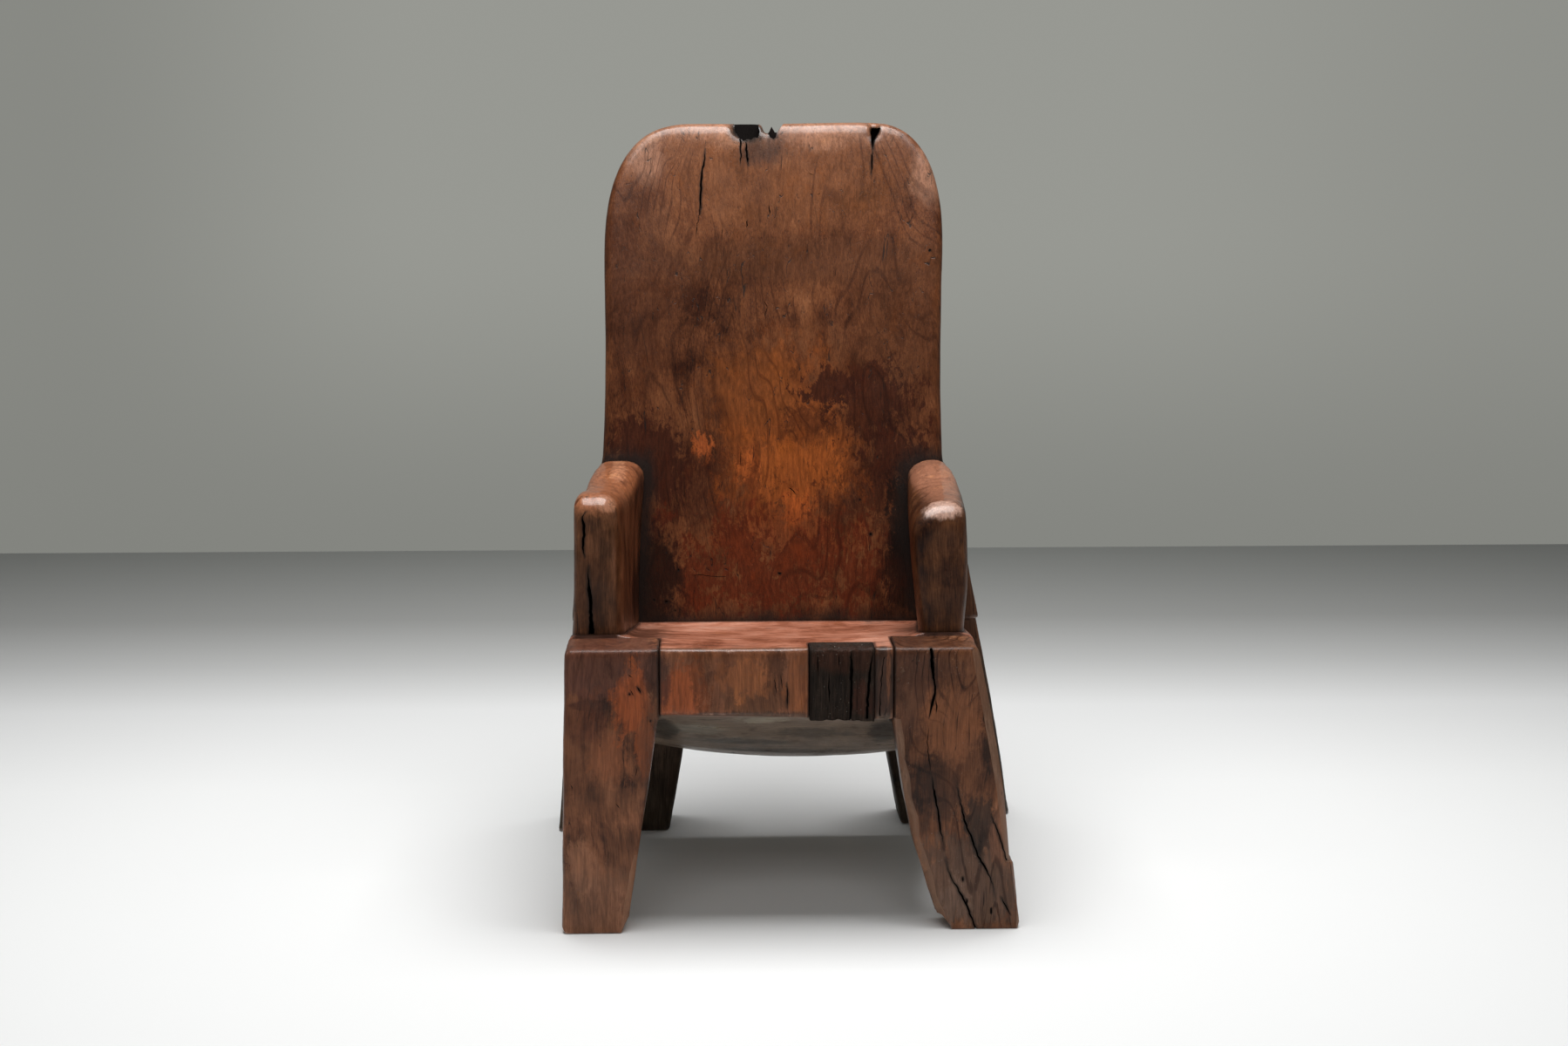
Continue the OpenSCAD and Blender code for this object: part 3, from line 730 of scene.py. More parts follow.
def blade_tree() -> bpy.types.NodeTree:
    """Tree that sweeps a wedge along a crack's line, pointed at both ends.

    Returns:
        The node group.
    """
    t = GeometryTree("split_blade", [
        ("Width", "NodeSocketFloat", 0.003), ("Depth", "NodeSocketFloat", 0.012),
        ("Raggedness", "NodeSocketFloat", 0.0008), ("Open end", "NodeSocketFloat", 0.0),
        ("Outward", "NodeSocketVector", (0, -1, 0)), ("Seed", "NodeSocketFloat", 1.0),
        ("Material", "NodeSocketMaterial", None),
    ])
    curve = t.link("GeometryNodeMeshToCurve", None, {"Mesh": t.given("Geometry")})
    even = t.link("GeometryNodeResampleCurve", {"mode": "LENGTH"}, {"Curve": curve, "Length": 4 * MM})
    spot = t.link("GeometryNodeInputPosition")
    stray = t.scaled(t.stray(spot, 160.0, 3.0, seed=t.given("Seed")), t.given("Raggedness") * 8.0)
    moved = t.link("GeometryNodeSetPosition", None, {"Geometry": even, "Offset": stray})
    turned = t.link("GeometryNodeSetCurveNormal", {"mode": "FREE"},
                    {"Curve": moved, "Normal": t.given("Outward")})
    share = t.link("GeometryNodeSplineParameter", output="Factor")
    rising = t.math("MINIMUM", share * 3.2, 1.0)
    falling = t.math("MAXIMUM", t.math("MINIMUM", (1 - share) * 3.2, 1.0), t.given("Open end"))
    full = rising * falling * (2.0 * t.noise(spot, 34.0, 4.0, 0.6, t.given("Seed") + 4.0)) + 0.1
    triangle = t.link("GeometryNodeCurvePrimitiveCircle", {"mode": "RADIUS"},
                      {"Resolution": 3, "Radius": 1.0})
    size = t.link("ShaderNodeCombineXYZ", None, {"X": t.given("Depth"), "Y": t.given("Width"), "Z": 1.0})
    shape = t.link("GeometryNodeTransform", None,
                   {"Geometry": triangle, "Rotation": (0.0, 0.0, math.pi), "Scale": size})
    return t.finish(t.link("GeometryNodeCurveToMesh", None, {
        "Curve": turned, "Profile Curve": shape, "Scale": full, "Fill Caps": True}))


def pit_tree() -> bpy.types.NodeTree:
    """Tree that sets a small rounded punch on each point, as large as the point says.

    Returns:
        The node group.
    """
    t = GeometryTree("pit_punches", [
        ("Raggedness", "NodeSocketFloat", 0.25), ("Seed", "NodeSocketFloat", 1.0),
        ("Material", "NodeSocketMaterial", None),
    ])
    ball = t.link("GeometryNodeMeshIcoSphere", None, {"Radius": 1.0, "Subdivisions": 3})
    size = t.link("GeometryNodeInputNamedAttribute", {"data_type": "FLOAT_VECTOR"}, {"Name": "size"})
    there = t.link("GeometryNodeInstanceOnPoints", None,
                   {"Points": t.given("Geometry"), "Instance": ball, "Scale": size})
    real = t.link("GeometryNodeRealizeInstances", None, {"Geometry": there})
    spot = t.link("GeometryNodeInputPosition")
    stray = t.scaled(t.stray(spot, 260.0, 2.0, seed=t.given("Seed")), t.given("Raggedness") * 0.008)
    return t.finish(t.link("GeometryNodeSetPosition", None, {"Geometry": real, "Offset": stray}))


def placed(name: str, data: bpy.types.ID) -> bpy.types.Object:
    """Puts a new object in the scene.

    Args:
        name: its name.
        data: its mesh, lamp or camera.

    Returns:
        The object.
    """
    made = bpy.data.objects.new(name, data)
    bpy.context.collection.objects.link(made)
    return made


def closed(work: bmesh.types.BMesh, mesh: bpy.types.Mesh) -> bpy.types.Mesh:
    """Ends work on a mesh.

    Args:
        work: the work, which is freed.
        mesh: the mesh that takes it.

    Returns:
        The mesh.
    """
    work.to_mesh(mesh)
    work.free()
    return mesh


def plain_mesh(thing: bpy.types.Object, name: str) -> bpy.types.Object:
    """Turns an object with modifiers into a plain mesh object at the origin.

    Args:
        thing: the object, which is removed.
        name: name of the result.

    Returns:
        The plain object.
    """
    graph = bpy.context.evaluated_depsgraph_get()
    mesh = bpy.data.meshes.new_from_object(thing.evaluated_get(graph), preserve_all_data_layers=True,
                                           depsgraph=graph)
    bpy.data.objects.remove(thing)
    mesh.name = name
    return placed(name, mesh)


def with_tree(thing: bpy.types.Object, tree: bpy.types.NodeTree, name: str,
              values: dict) -> bpy.types.Object:
    """Runs a Geometry Nodes tree on an object.

    Args:
        thing: the object, which is used up.
        tree: the node group.
        name: name of the result.
        values: the tree's inputs by name.

    Returns:
        The plain result.
    """
    modifier = thing.modifiers.new("shaping", "NODES")
    modifier.node_group = tree
    sockets = {s.name: s.identifier for s in tree.interface.items_tree if s.in_out == "INPUT"}
    for label, value in values.items():
        modifier[sockets[label]] = value
    return plain_mesh(thing, name)


class Workshop:
    """Tools that cut every block: the trees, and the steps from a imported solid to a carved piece."""

    def __init__(self) -> None:
        """Makes the trees once."""
        self.hewn = hewn_tree()
        self.blade = blade_tree()
        self.punch = pit_tree()

    def block(self, node: str, grid: float) -> bpy.types.Object:
        """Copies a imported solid, joins its loose triangles and gives it an even skin.

        Args:
            node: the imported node.
            grid: size of the skin's cells in mm.

        Returns:
            The new block.
        """
        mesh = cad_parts[node].data.copy()
        mesh.materials.clear()
        work = bmesh.new()
        work.from_mesh(mesh)
        bmesh.ops.remove_doubles(work, verts=work.verts, dist=WELD)
        thing = placed(node + "_rough", closed(work, mesh))
        even = thing.modifiers.new("even", "REMESH")
        even.mode = "VOXEL"
        even.voxel_size = grid * MM
        return plain_mesh(thing, node + "_even")

    def hew(self, thing: bpy.types.Object, how: Hewing, name: str, corners: bpy.types.Object | None,
            neighbours: bpy.types.Object, finish: bpy.types.Material) -> bpy.types.Object:
        """Cuts a block's surface.

        Args:
            thing: the even block, which is used up.
            how: the cuts.
            name: name of the result.
            corners: what stands in the block's inner corners.
            neighbours: all the other blocks, against which the joints stay tight.
            finish: the material.

        Returns:
            The hewn block.
        """
        # The corner inputs set the painted shade near the blocks in the inner corners.
        return with_tree(thing, self.hewn, name, {
            "Facet depth": how.facet * MM, "Facet size": how.facet_size * MM,
            "Ripple depth": how.ripple * MM, "Ripple size": how.ripple_size * MM,
            "Furrow depth": how.furrow * MM, "Furrow size": how.furrow_size * MM,
            "Furrow stretch": how.furrow_grain.value, "Rotten below": how.rotten_below * MM,
            "Cove height": how.cove * MM, "Cove reach": how.cove_reach * MM, "Corners": corners,
            "Corner shade": 0.0 if corners is None else 1.0, "Shade reach": how.shade_reach * MM,
            "Neighbours": neighbours, "Easing": how.easing,
            "Seed": float(how.seed), "Material": finish,
        })

    def _touch(self, skin: BVHTree, side: Side, u: float, v: float) -> tuple[Vector, Vector] | None:
        """Where the marking ray meets the block, and the surface's normal there."""
        hit, normal, _, _ = skin.ray_cast(side.start(u * MM, v * MM), -Vector(side.value))
        return None if hit is None else (hit, normal)

    def split(self, skin: BVHTree, mark: Split, seed: int) -> bpy.types.Object | None:
        """Makes the blade that cuts one crack. Where the line runs off the block, it goes on level.

        Args:
            skin: the hewn block's surface.
            mark: the crack.
            seed: seed of its raggedness.

        Returns:
            The blade, or None where the line misses the block.
        """
        out, spots = Vector(mark.side.value), []
        for u, v in mark.line:
            hit = self._touch(skin, mark.side, u, v)
            if hit is None and spots:
                base, (last, normal) = mark.side.start(u * MM, v * MM), spots[-1]
                hit = (base - out * (base - last).dot(out), normal)
            if hit is not None:
                spots.append(hit)
        if len(spots) < 2:
            return None
        outward = sum((n for _, n in spots), Vector()).normalized()
        lift = outward * (mark.depth * MM * BLADE_LIFT)
        mesh = bpy.data.meshes.new("line")
        mesh.from_pydata([p + lift for p, _ in spots], [(i, i + 1) for i in range(len(spots) - 1)], [])
        name = "blade" if mark.width > FINE_CRACK else "fine_blade"
        return with_tree(placed("line", mesh), self.blade, name, {
            "Width": mark.width * MM * BLADE_SHARE, "Depth": mark.depth * MM,
            "Raggedness": mark.ragged * MM, "Open end": float(mark.open_end), "Outward": outward,
            "Seed": float(seed), "Material": None,
        })

    def pits(self, skin: BVHTree, marks: tuple[Pit, ...], seed: int) -> bpy.types.Object | None:
        """Makes the punches for a block's pits, in one object.

        Args:
            skin: the hewn block's surface.
            marks: the pits.
            seed: seed of their raggedness.

        Returns:
            The punches, or None where there is no pit.
        """
        spots, sizes = [], []
        for mark in marks:
            hit = self._touch(skin, mark.side, *mark.at)
            if hit is None:
                continue
            a, b, c = (v * MM for v in mark.size)
            out = mark.side.value
            spots.append(hit[0])
            sizes.append((a, c, b) if out[1] else (c, a, b) if out[0] else (a, b, c))
        if not spots:
            return None
        mesh = bpy.data.meshes.new("spots")
        mesh.from_pydata(spots, [], [])
        mesh.attributes.new("size", "FLOAT_VECTOR", "POINT").data.foreach_set(
            "vector", [v for size in sizes for v in size])
        return with_tree(placed("spots", mesh), self.punch, "punches",
                         {"Seed": float(seed), "Material": None})

    def chip(self, mark: Chip) -> bpy.types.Object:
        """Makes the prism that takes a chip away.

        Args:
            mark: the chip.

        Returns:
            The prism.
        """
        work = bmesh.new()
        rings = [[work.verts.new(Vector((x + dx, y, z + dz)) * MM) for x, z in mark.outline]
                 for y, (dx, dz) in ((mark.near, (0.0, 0.0)), (mark.far, mark.lean))]
        n = len(mark.outline)
        work.faces.new(rings[0])
        work.faces.new(rings[1][::-1])
        for i in range(n):
            j = (i + 1) % n
            work.faces.new((rings[0][i], rings[1][i], rings[1][j], rings[0][j]))
        bmesh.ops.recalc_face_normals(work, faces=work.faces)
        # A hole's walls get the near black of painted shade; a chip's keep the wood's colour.
        name = "hole" if mark.shade_inside else "chip_fresh" if mark.fresh else "chip"
        return placed(name, closed(work, bpy.data.meshes.new(name)))

    def carve(self, thing: bpy.types.Object, cutters: list[bpy.types.Object], finish: bpy.types.Material,
              name: str) -> bpy.types.Object:
        """Takes the cutters out of a block and notes how near each point lies to a wide crack or a hole.

        Args:
            thing: the hewn block, which is used up.
            cutters: blades, punches and chips, which are used up.
            finish: the block's material.
            name: the piece's name.

        Returns:
            The finished piece.
        """
        tools = [c for c in cutters if c is not None]
        # cut marks the faces left by blades, punches and holes, which get painted shade.
        for part in (thing, *tools):
            kinds = {"cut": part is not thing and not part.name.startswith("chip"),
                     "fresh": part.name.startswith("chip_fresh")}
            for name_of, value in kinds.items():
                mark = part.data.attributes.new(name_of, "FLOAT", "FACE")
                mark.data.foreach_set("value", [float(value)] * len(part.data.polygons))
        for cutter in tools:
            mod = thing.modifiers.new("cut", "BOOLEAN")
            mod.operation = "DIFFERENCE"
            mod.solver = "MANIFOLD"
            mod.object = cutter
        made = plain_mesh(thing, name)
        mesh = made.data
        marks = [0.0] * len(mesh.vertices)
        for cutter in tools:
            if cutter.name.startswith(("chip", "fine")):
                continue
            near = BVHTree.FromObject(cutter, bpy.context.evaluated_depsgraph_get())
            low = [min(v.co[k] for v in cutter.data.vertices) - RIM for k in range(3)]
            high = [max(v.co[k] for v in cutter.data.vertices) + RIM for k in range(3)]
            for vert in mesh.vertices:
                p = vert.co
                if low[0] < p.x < high[0] and low[1] < p.y < high[1] and low[2] < p.z < high[2]:
                    distance = near.find_nearest(p, RIM)[3]
                    if distance is not None:
                        marks[vert.index] = max(marks[vert.index], 1 - distance / RIM)
        mesh.attributes.new("split", "FLOAT", "POINT").data.foreach_set("value", marks)
        for cutter in tools:
            bpy.data.objects.remove(cutter)
        mesh.materials.clear()
        mesh.materials.append(finish)
        mesh.shade_smooth()
        mesh.set_sharp_from_angle(angle=SHARP)
        return made


@dataclass
class Block:
    """A hewn block of the chair. Its marks are in mm, and so is grid, the size of its skin's cells."""

    node: str
    slot: str
    grid: float = 3.2
    seed: int = 1

    def wood(self) -> Wood:
        """The block's finish, which each kind of block gives."""
        raise NotImplementedError

    def hewing(self) -> Hewing:
        """How its surface is cut."""
        return Hewing(seed=self.seed)

    def splits(self) -> tuple[Split, ...]:
        """Its cracks."""
        return ()

    def pits(self) -> tuple[Pit, ...]:
        """Its pits and dents."""
        return ()

    def chips(self) -> tuple[Chip, ...]:
        """What is cut or broken off it."""
        return ()

    def corners(self) -> tuple[str, ...]:
        """Blocks that stand in its inner corners."""
        return ()

    def build(self, shop: Workshop) -> bpy.types.Object:
        """Carves the block and dresses it.

        Args:
            shop: the workshop's tools.

        Returns:
            The finished piece.
        """
        finish = self.wood().material()
        thing = shop.block(self.node, self.grid)
        corners = self._joined(self.corners())
        others = self._joined(tuple(n for n in BLOCKS if n != self.node))
        thing = shop.hew(thing, self.hewing(), self.node + "_hewn", corners, others, finish)
        for helper in (corners, others):
            if helper is not None:
                bpy.data.objects.remove(helper)
        skin = BVHTree.FromObject(thing, bpy.context.evaluated_depsgraph_get())
        cutters = [shop.split(skin, mark, 3 * k + 1) for k, mark in enumerate(self.splits())]
        cutters.append(shop.pits(skin, self.pits(), self.seed))
        cutters.extend(shop.chip(mark) for mark in self.chips())
        piece = shop.carve(thing, cutters, finish, self.node + "_carved")
        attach(piece, "root")
        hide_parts(self.node)
        log.info("%s: %d faces, %d cuts", piece.name, len(piece.data.polygons), len(cutters))
        return piece

    @staticmethod
    def _joined(nodes: tuple[str, ...]) -> bpy.types.Object | None:
        """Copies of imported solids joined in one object, or None for no nodes.

        Args:
            nodes: the solids' nodes.

        Returns:
            The joined object.
        """
        if not nodes:
            return None
        work = bmesh.new()
        for node in nodes:
            work.from_mesh(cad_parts[node].data)
        return placed("joined", closed(work, bpy.data.meshes.new("joined")))


@dataclass
class Backrest(Block):
    """The tall slab back, with its knot hole, dark inside with painted shade, and splits at the top."""

    knot_depth: float = 24.0
    split_width: float = 6.5
    front_at_top: float = 290.0

    def wood(self) -> Wood:
        """Warm red-brown, lighter at the top in part through painted highlights, with an orange glow and
        dark blotches below the middle, and painted shade where the arms and the seat meet it.

        Returns:
            The finish.
        """
        red, black = (0.045, 0.010, 0.004), (0.012, 0.005, 0.003)
        return Wood(
            "back_hardwood", Grain.UPRIGHT,
            ((0.026, 0.007, 0.003), (0.068, 0.020, 0.007), (0.12, 0.037, 0.013), (0.18, 0.060, 0.021),
             (0.26, 0.095, 0.036)),
            stains=(
                *patches(200, 400,
                    # The lighter upper part is partly a painted highlight; the pale band along the top edge
                    # and the two pale top corners are painted highlights.
                    (20, 1060, 230, 110, (0.185, 0.064, 0.022), 0.5),
                    (0, 1125, 240, 42, (0.36, 0.17, 0.1), 0.6, 0.5),
                    (-222, 1072, 34, 50, (0.4, 0.2, 0.125), 0.5, 0.4),
                    (225, 1050, 30, 60, (0.4, 0.2, 0.125), 0.5, 0.4),
                    (60, 910, 300, 40, (0.105, 0.036, 0.014), 0.6, 0.35),
                    (-230, 880, 80, 160, (0.065, 0.02, 0.008), 0.6),
                    (190, 800, 90, 120, (0.1, 0.033, 0.012), 0.55),
                    (0, 640, 130, 150, (0.24, 0.062, 0.013), 0.85, 0.5, 0.3),
                    (-60, 720, 90, 70, (0.2, 0.058, 0.015), 0.6, 0.6, 0.3),
                    (5, 575, 100, 75, (0.38, 0.095, 0.017), 0.6, 1.0, 0.5),
                    (-136, 622, 18, 24, (0.5, 0.12, 0.03), 0.7, 1.3, 0.6),
                    (16, 530, 34, 30, (0.5, 0.11, 0.02), 0.6, 1.3, 0.6),
                    (-60, 585, 24, 34, (0.45, 0.105, 0.022), 0.5, 1.3, 0.6),
                    (0, 490, 150, 60, (0.24, 0.055, 0.013), 0.6, 0.8, 0.5),
                    (64, 715, 50, 34, red, 0.9, 1.3, 0.85),
                    (135, 690, 70, 60, red, 0.8, 1.4, 0.8),
                    (165, 610, 60, 60, red, 0.8, 1.3, 0.8),
                    (40, 660, 60, 30, red, 0.5, 1.5, 0.8),
                    (-215, 610, 60, 90, red, 0.85, 1.2, 0.7),
                    (-110, 550, 100, 60, red, 0.5, 1.6, 0.8),
                    (130, 540, 90, 80, red, 0.6, 1.5, 0.8),
                    # Painted shade: the near-black patches by the right arm and at the foot, where the back
                    # meets the arms and the seat.
                    (170, 520, 28, 80, black, 0.8, 1.1, 0.7),
                    (-40, 440, 290, 70, (0.115, 0.019, 0.005), 0.75, 1.8, 0.85),
                    (-220, 420, 70, 90, black, 0.85, 0.6, 0.3),
                    (190, 450, 60, 110, black, 0.8, 0.6, 0.3),
                ),
                *patches(290, 80,
                    (-35, 1085, 45, 40, (0.03, 0.016, 0.012), 0.65),
                    # Painted shade: near black in and around the knot hole.
                    (-62, 1112, 30, 22, (0.008, 0.007, 0.006), 0.95, 0.25),
                ),
            ),
            mottle=0.65, gloss=1.32, wax=0.1, rubbed_above=1095.0, figure=0.6, rings=190.0,
            hairlines=0.85, worn_highlight=(0.34, 0.15, 0.08), wear_highlight=0.5, seed=11.0,
        )

    def hewing(self) -> Hewing:
        """Broad shallow cuts."""
        return Hewing(facet=1.1, facet_size=120, ripple=0.4, ripple_size=34, shade_reach=45, easing=9,
                      seed=self.seed)

    def corners(self) -> tuple[str, ...]:
        """The arms and the seat close in on its foot."""
        return ("left_arm", "right_arm", "seat_block")

    def splits(self) -> tuple[Split, ...]:
        """Cracks of the front, and others like them on the rear face.

        Returns:
            The cracks.
        """
        w = self.split_width
        return (
            Split(((-127, 1086), (-130, 1058), (-134, 1048)), 3.0, 10),
            Split(((-131, 1066), (-134, 1035), (-135, 1014), (-137, 980)), w * 0.85, 20),
            Split(((-136, 1006), (-139, 973), (-145, 940)), 2.4, 9),
            Split(((-71, 1104), (-71, 1085), (-72, 1056)), 3.6, 10),
            Split(((-64, 1100), (-62, 1078), (-60, 1056)), 5.0, 12),
            Split(((-62, 975), (-64, 960)), 2.4, 6),
            Split(((-27, 998), (-26, 980)), 2.4, 6),
            Split(((-38, 852), (-32, 840), (-36, 828), (-34, 812)), 1.8, 5),
            Split(((-107, 775), (-92, 812), (-84, 843)), 1.0, 2),
            Split(((-77, 590), (-74, 624)), 1.4, 4),
            Split(((-2, 562), (6, 557), (11, 549)), 2.6, 5),
            Split(((4, 551), (9, 546)), 2.2, 4),
            Split(((-101, 968), (-103, 940)), 1.5, 4),
            Split(((34, 1048), (44, 1042)), 2.2, 4),
            Split(((48, 1012), (56, 1016)), 1.6, 4),
            Split(((74, 884), (78, 902)), 1.2, 3),
            Split(((-160, 430), (-120, 427), (-90, 424)), 1.8, 4),
            Split(((138, 1086), (135, 1064), (135, 1042)), 3.0, 10),
            Split(((-70, 1118), (-76, 1010), (-66, 880), (-80, 760), (-74, 700)), 6, 20, Side.REAR),
            Split(((110, 1060), (118, 930), (104, 800), (112, 640), (100, 520)), 4.5, 16, Side.REAR),
            Split(((-170, 900), (-178, 760), (-168, 620)), 3.2, 10, Side.REAR),
            Split(((30, 700), (24, 560), (36, 430)), 3.2, 10, Side.REAR),
            Split(((200, 980), (206, 860), (198, 760)), 2.4, 7, Side.REAR),
        )

    def pits(self) -> tuple[Pit, ...]:
        """Dents and worm pits.

        Returns:
            The pits.
        """
        small = [(110, 543), (126, 490), (-16, 430), (-173, 437), (-211, 392),
                 (-192, 389), (-178, 375), (223, 926)]
        return (
            *(Pit(at, (1.2 + (k % 3) * 0.7, 1.4 + (k % 2) * 0.8, 1.4)) for k, at in enumerate(small)),
            Pit((-120, 980), (5, 6, 4), Side.REAR), Pit((60, 860), (4, 7, 5), Side.REAR),
            Pit((-30, 560), (6, 5, 5), Side.REAR),
        )

    def chips(self) -> tuple[Chip, ...]:
        """The knot hole, the notch beside it and the wedge near the right corner. The knot hole and the
        other dark holes have near-black walls, as painted shade.

        Returns:
            The chips.
        """
        y = self.front_at_top
        deep = y + self.knot_depth
        return (
            Chip(((-82, 1135), (-81, 1118), (-80, 1111), (-76, 1107), (-74, 1102), (-67, 1097), (-61, 1100),
                  (-55, 1099), (-50, 1103), (-44, 1102), (-42, 1107), (-41, 1113), (-43, 1120), (-42, 1135)),
                 y - 60, deep, shade_inside=True),
            Chip(((-28, 1122), (-29, 1112), (-25, 1103), (-19, 1100), (-15, 1104), (-14, 1112), (-18, 1122)),
                 y - 60, y + 12, shade_inside=True),
            Chip(((-23, 1135), (-22, 1122), (-16, 1112), (-12, 1111), (-8, 1118), (-1, 1127), (2, 1135)),
                 y - 60, y + 90, fresh=True),
            Chip(((138, 1119), (136, 1110), (135, 1097), (137, 1082), (141, 1097), (149, 1111), (151, 1118)),
                 y - 60, y + 14, shade_inside=True),
        )


@dataclass
class Arm(Block):
    """A low arm with a rounded knuckle at its front."""

    crack_width: float = 6.5
    crack_depth: float = 26.0

    def hewing(self) -> Hewing:
        """Cuts of a small adze."""
        return Hewing(facet=1.1, facet_size=70, ripple=0.4, ripple_size=24, shade_reach=14, seed=self.seed)

    def corners(self) -> tuple[str, ...]:
        """The seat and the back."""
        return ("seat_block", "backrest")


class LeftArm(Arm):
    """The arm on the left of the photograph, with a deep crack down its front."""

    def wood(self) -> Wood:
        """Dark brown sides and a rubbed, paler top, with painted highlights on the knuckle and the inner
        front edge and painted shade below the knuckle and at the inner foot.

        Returns:
            The finish.
        """
        return Wood(
            "left_arm_hardwood", Grain.UPRIGHT,
            ((0.018, 0.006, 0.003), (0.058, 0.022, 0.009), (0.12, 0.046, 0.020), (0.22, 0.088, 0.040)),
            stains=(
                Stain((-280, -60, 600), (90, 330, 32), (0.32, 0.11, 0.046), 0.85, 0.3, 0.3),
                # Painted highlight on the knuckle, and painted shade just below it.
                Stain((-262, -248, 588), (24, 34, 12), (0.36, 0.17, 0.1), 0.6, 0.8, 0.3),
                Stain((-262, -292, 572), (20, 20, 12), (0.014, 0.007, 0.005), 0.7, 0.8, 0.4),
                Stain((-262, 0, 603), (12, 200, 14), (0.5, 0.22, 0.12), 0.6, 1.2, 0.4),
                Stain((-310, -230, 470), (40, 200, 60), (0.05, 0.018, 0.008), 0.5),
                # Painted shade at the inner foot by the seat and the back, then a painted highlight up the
                # inner front edge.
                Stain((-225, 60, 420), (60, 200, 50), (0.010, 0.004, 0.003), 0.8),
                Stain((-258, -270, 520), (5, 20, 60), (0.2, 0.09, 0.05), 0.6, 0.5, 0.5),
            ),
            blotches=2.4, mottle=0.9, roughness=0.34, wax=0.08, rubbed_above=545.0, worn_highlight=(0.32, 0.14, 0.08),
            wear_highlight=0.5, seed=21.0,
        )

    def splits(self) -> tuple[Split, ...]:
        """Cracks of the front and the outer side.

        Returns:
            The cracks.
        """
        w, d = self.crack_width, self.crack_depth
        return (
            Split(((-295, 580), (-302, 568), (-299, 557), (-299, 545), (-302, 529), (-297, 512)),
                  w * 0.8, 16),
            Split(((-293, 506), (-294, 490), (-293, 475), (-291, 452), (-291, 428), (-290, 398)), w * 1.1, d,
                  open_end=True),
            Split(((-150, 560), (-60, 545), (40, 552), (120, 540)), 4, 12, Side.LEFT),
            Split(((-210, 470), (-120, 462), (-20, 474), (90, 466)), 3, 10, Side.LEFT),
            Split(((-100, 430), (0, 424), (60, 430)), 2.2, 6, Side.LEFT),
        )

    def pits(self) -> tuple[Pit, ...]:
        """Small dents."""
        return (Pit((-60, 500), (4, 3, 3), Side.LEFT), Pit((90, 520), (2, 3, 2), Side.LEFT))

    def chips(self) -> tuple[Chip, ...]:
        """The flat fold at the top outer corner."""
        return (Chip(((-345, 600), (-312, 583), (-303, 596), (-292, 604), (-300, 640), (-345, 640)),
                     -300, -236),)


class RightArm(Arm):
    """The arm on the right of the photograph, with a chip out of its outer top."""

    def wood(self) -> Wood:
        """Dark brown sides and a rubbed, paler top, with a painted highlight on the knuckle and painted
        shade at the inner foot.

        Returns:
            The finish.
        """
        return Wood(
            "right_arm_hardwood", Grain.UPRIGHT,
            ((0.016, 0.005, 0.003), (0.054, 0.019, 0.008), (0.11, 0.041, 0.016), (0.2, 0.078, 0.032)),
            stains=(
                Stain((205, -60, 604), (90, 330, 30), (0.36, 0.15, 0.085), 0.85, 0.3, 0.3),
                # Painted highlight on the knuckle.
                Stain((200, -258, 580), (42, 38, 16), (0.55, 0.34, 0.26), 0.8, 0.5, 0.3),
                *patches(-290, 30,
                    (190, 545, 22, 26, (0.03, 0.013, 0.008), 0.6, 0.9, 0.4),
                    (214, 470, 18, 50, (0.1, 0.042, 0.02), 0.6, 0.9, 0.3),
                ),
                # Painted shade at the inner foot by the seat and the back.
                Stain((165, 40, 440), (50, 230, 70), (0.010, 0.004, 0.003), 0.8),
            ),
            blotches=2.4, mottle=0.9, roughness=0.34, wax=0.08, rubbed_above=545.0, worn_highlight=(0.34, 0.16, 0.1),
            wear_highlight=0.5, seed=31.0,
        )

    def splits(self) -> tuple[Split, ...]:
        """Cracks of the outer side.

        Returns:
            The cracks.
        """
        return (
            Split(((-190, 540), (-90, 552), (10, 543), (130, 550)), 4, 12, Side.RIGHT),
            Split(((-150, 450), (-40, 458), (70, 448)), 3, 9, Side.RIGHT),
        )

    def pits(self) -> tuple[Pit, ...]:
        """Small dents."""
        return (Pit((30, 500), (4, 3, 3), Side.RIGHT), Pit((-110, 470), (2, 3, 2), Side.RIGHT))

    def chips(self) -> tuple[Chip, ...]:
        """The chip at the outer top corner."""
        return (Chip(((214, 600), (215, 590), (222, 584), (232, 583), (240, 600)), -300, -242),)


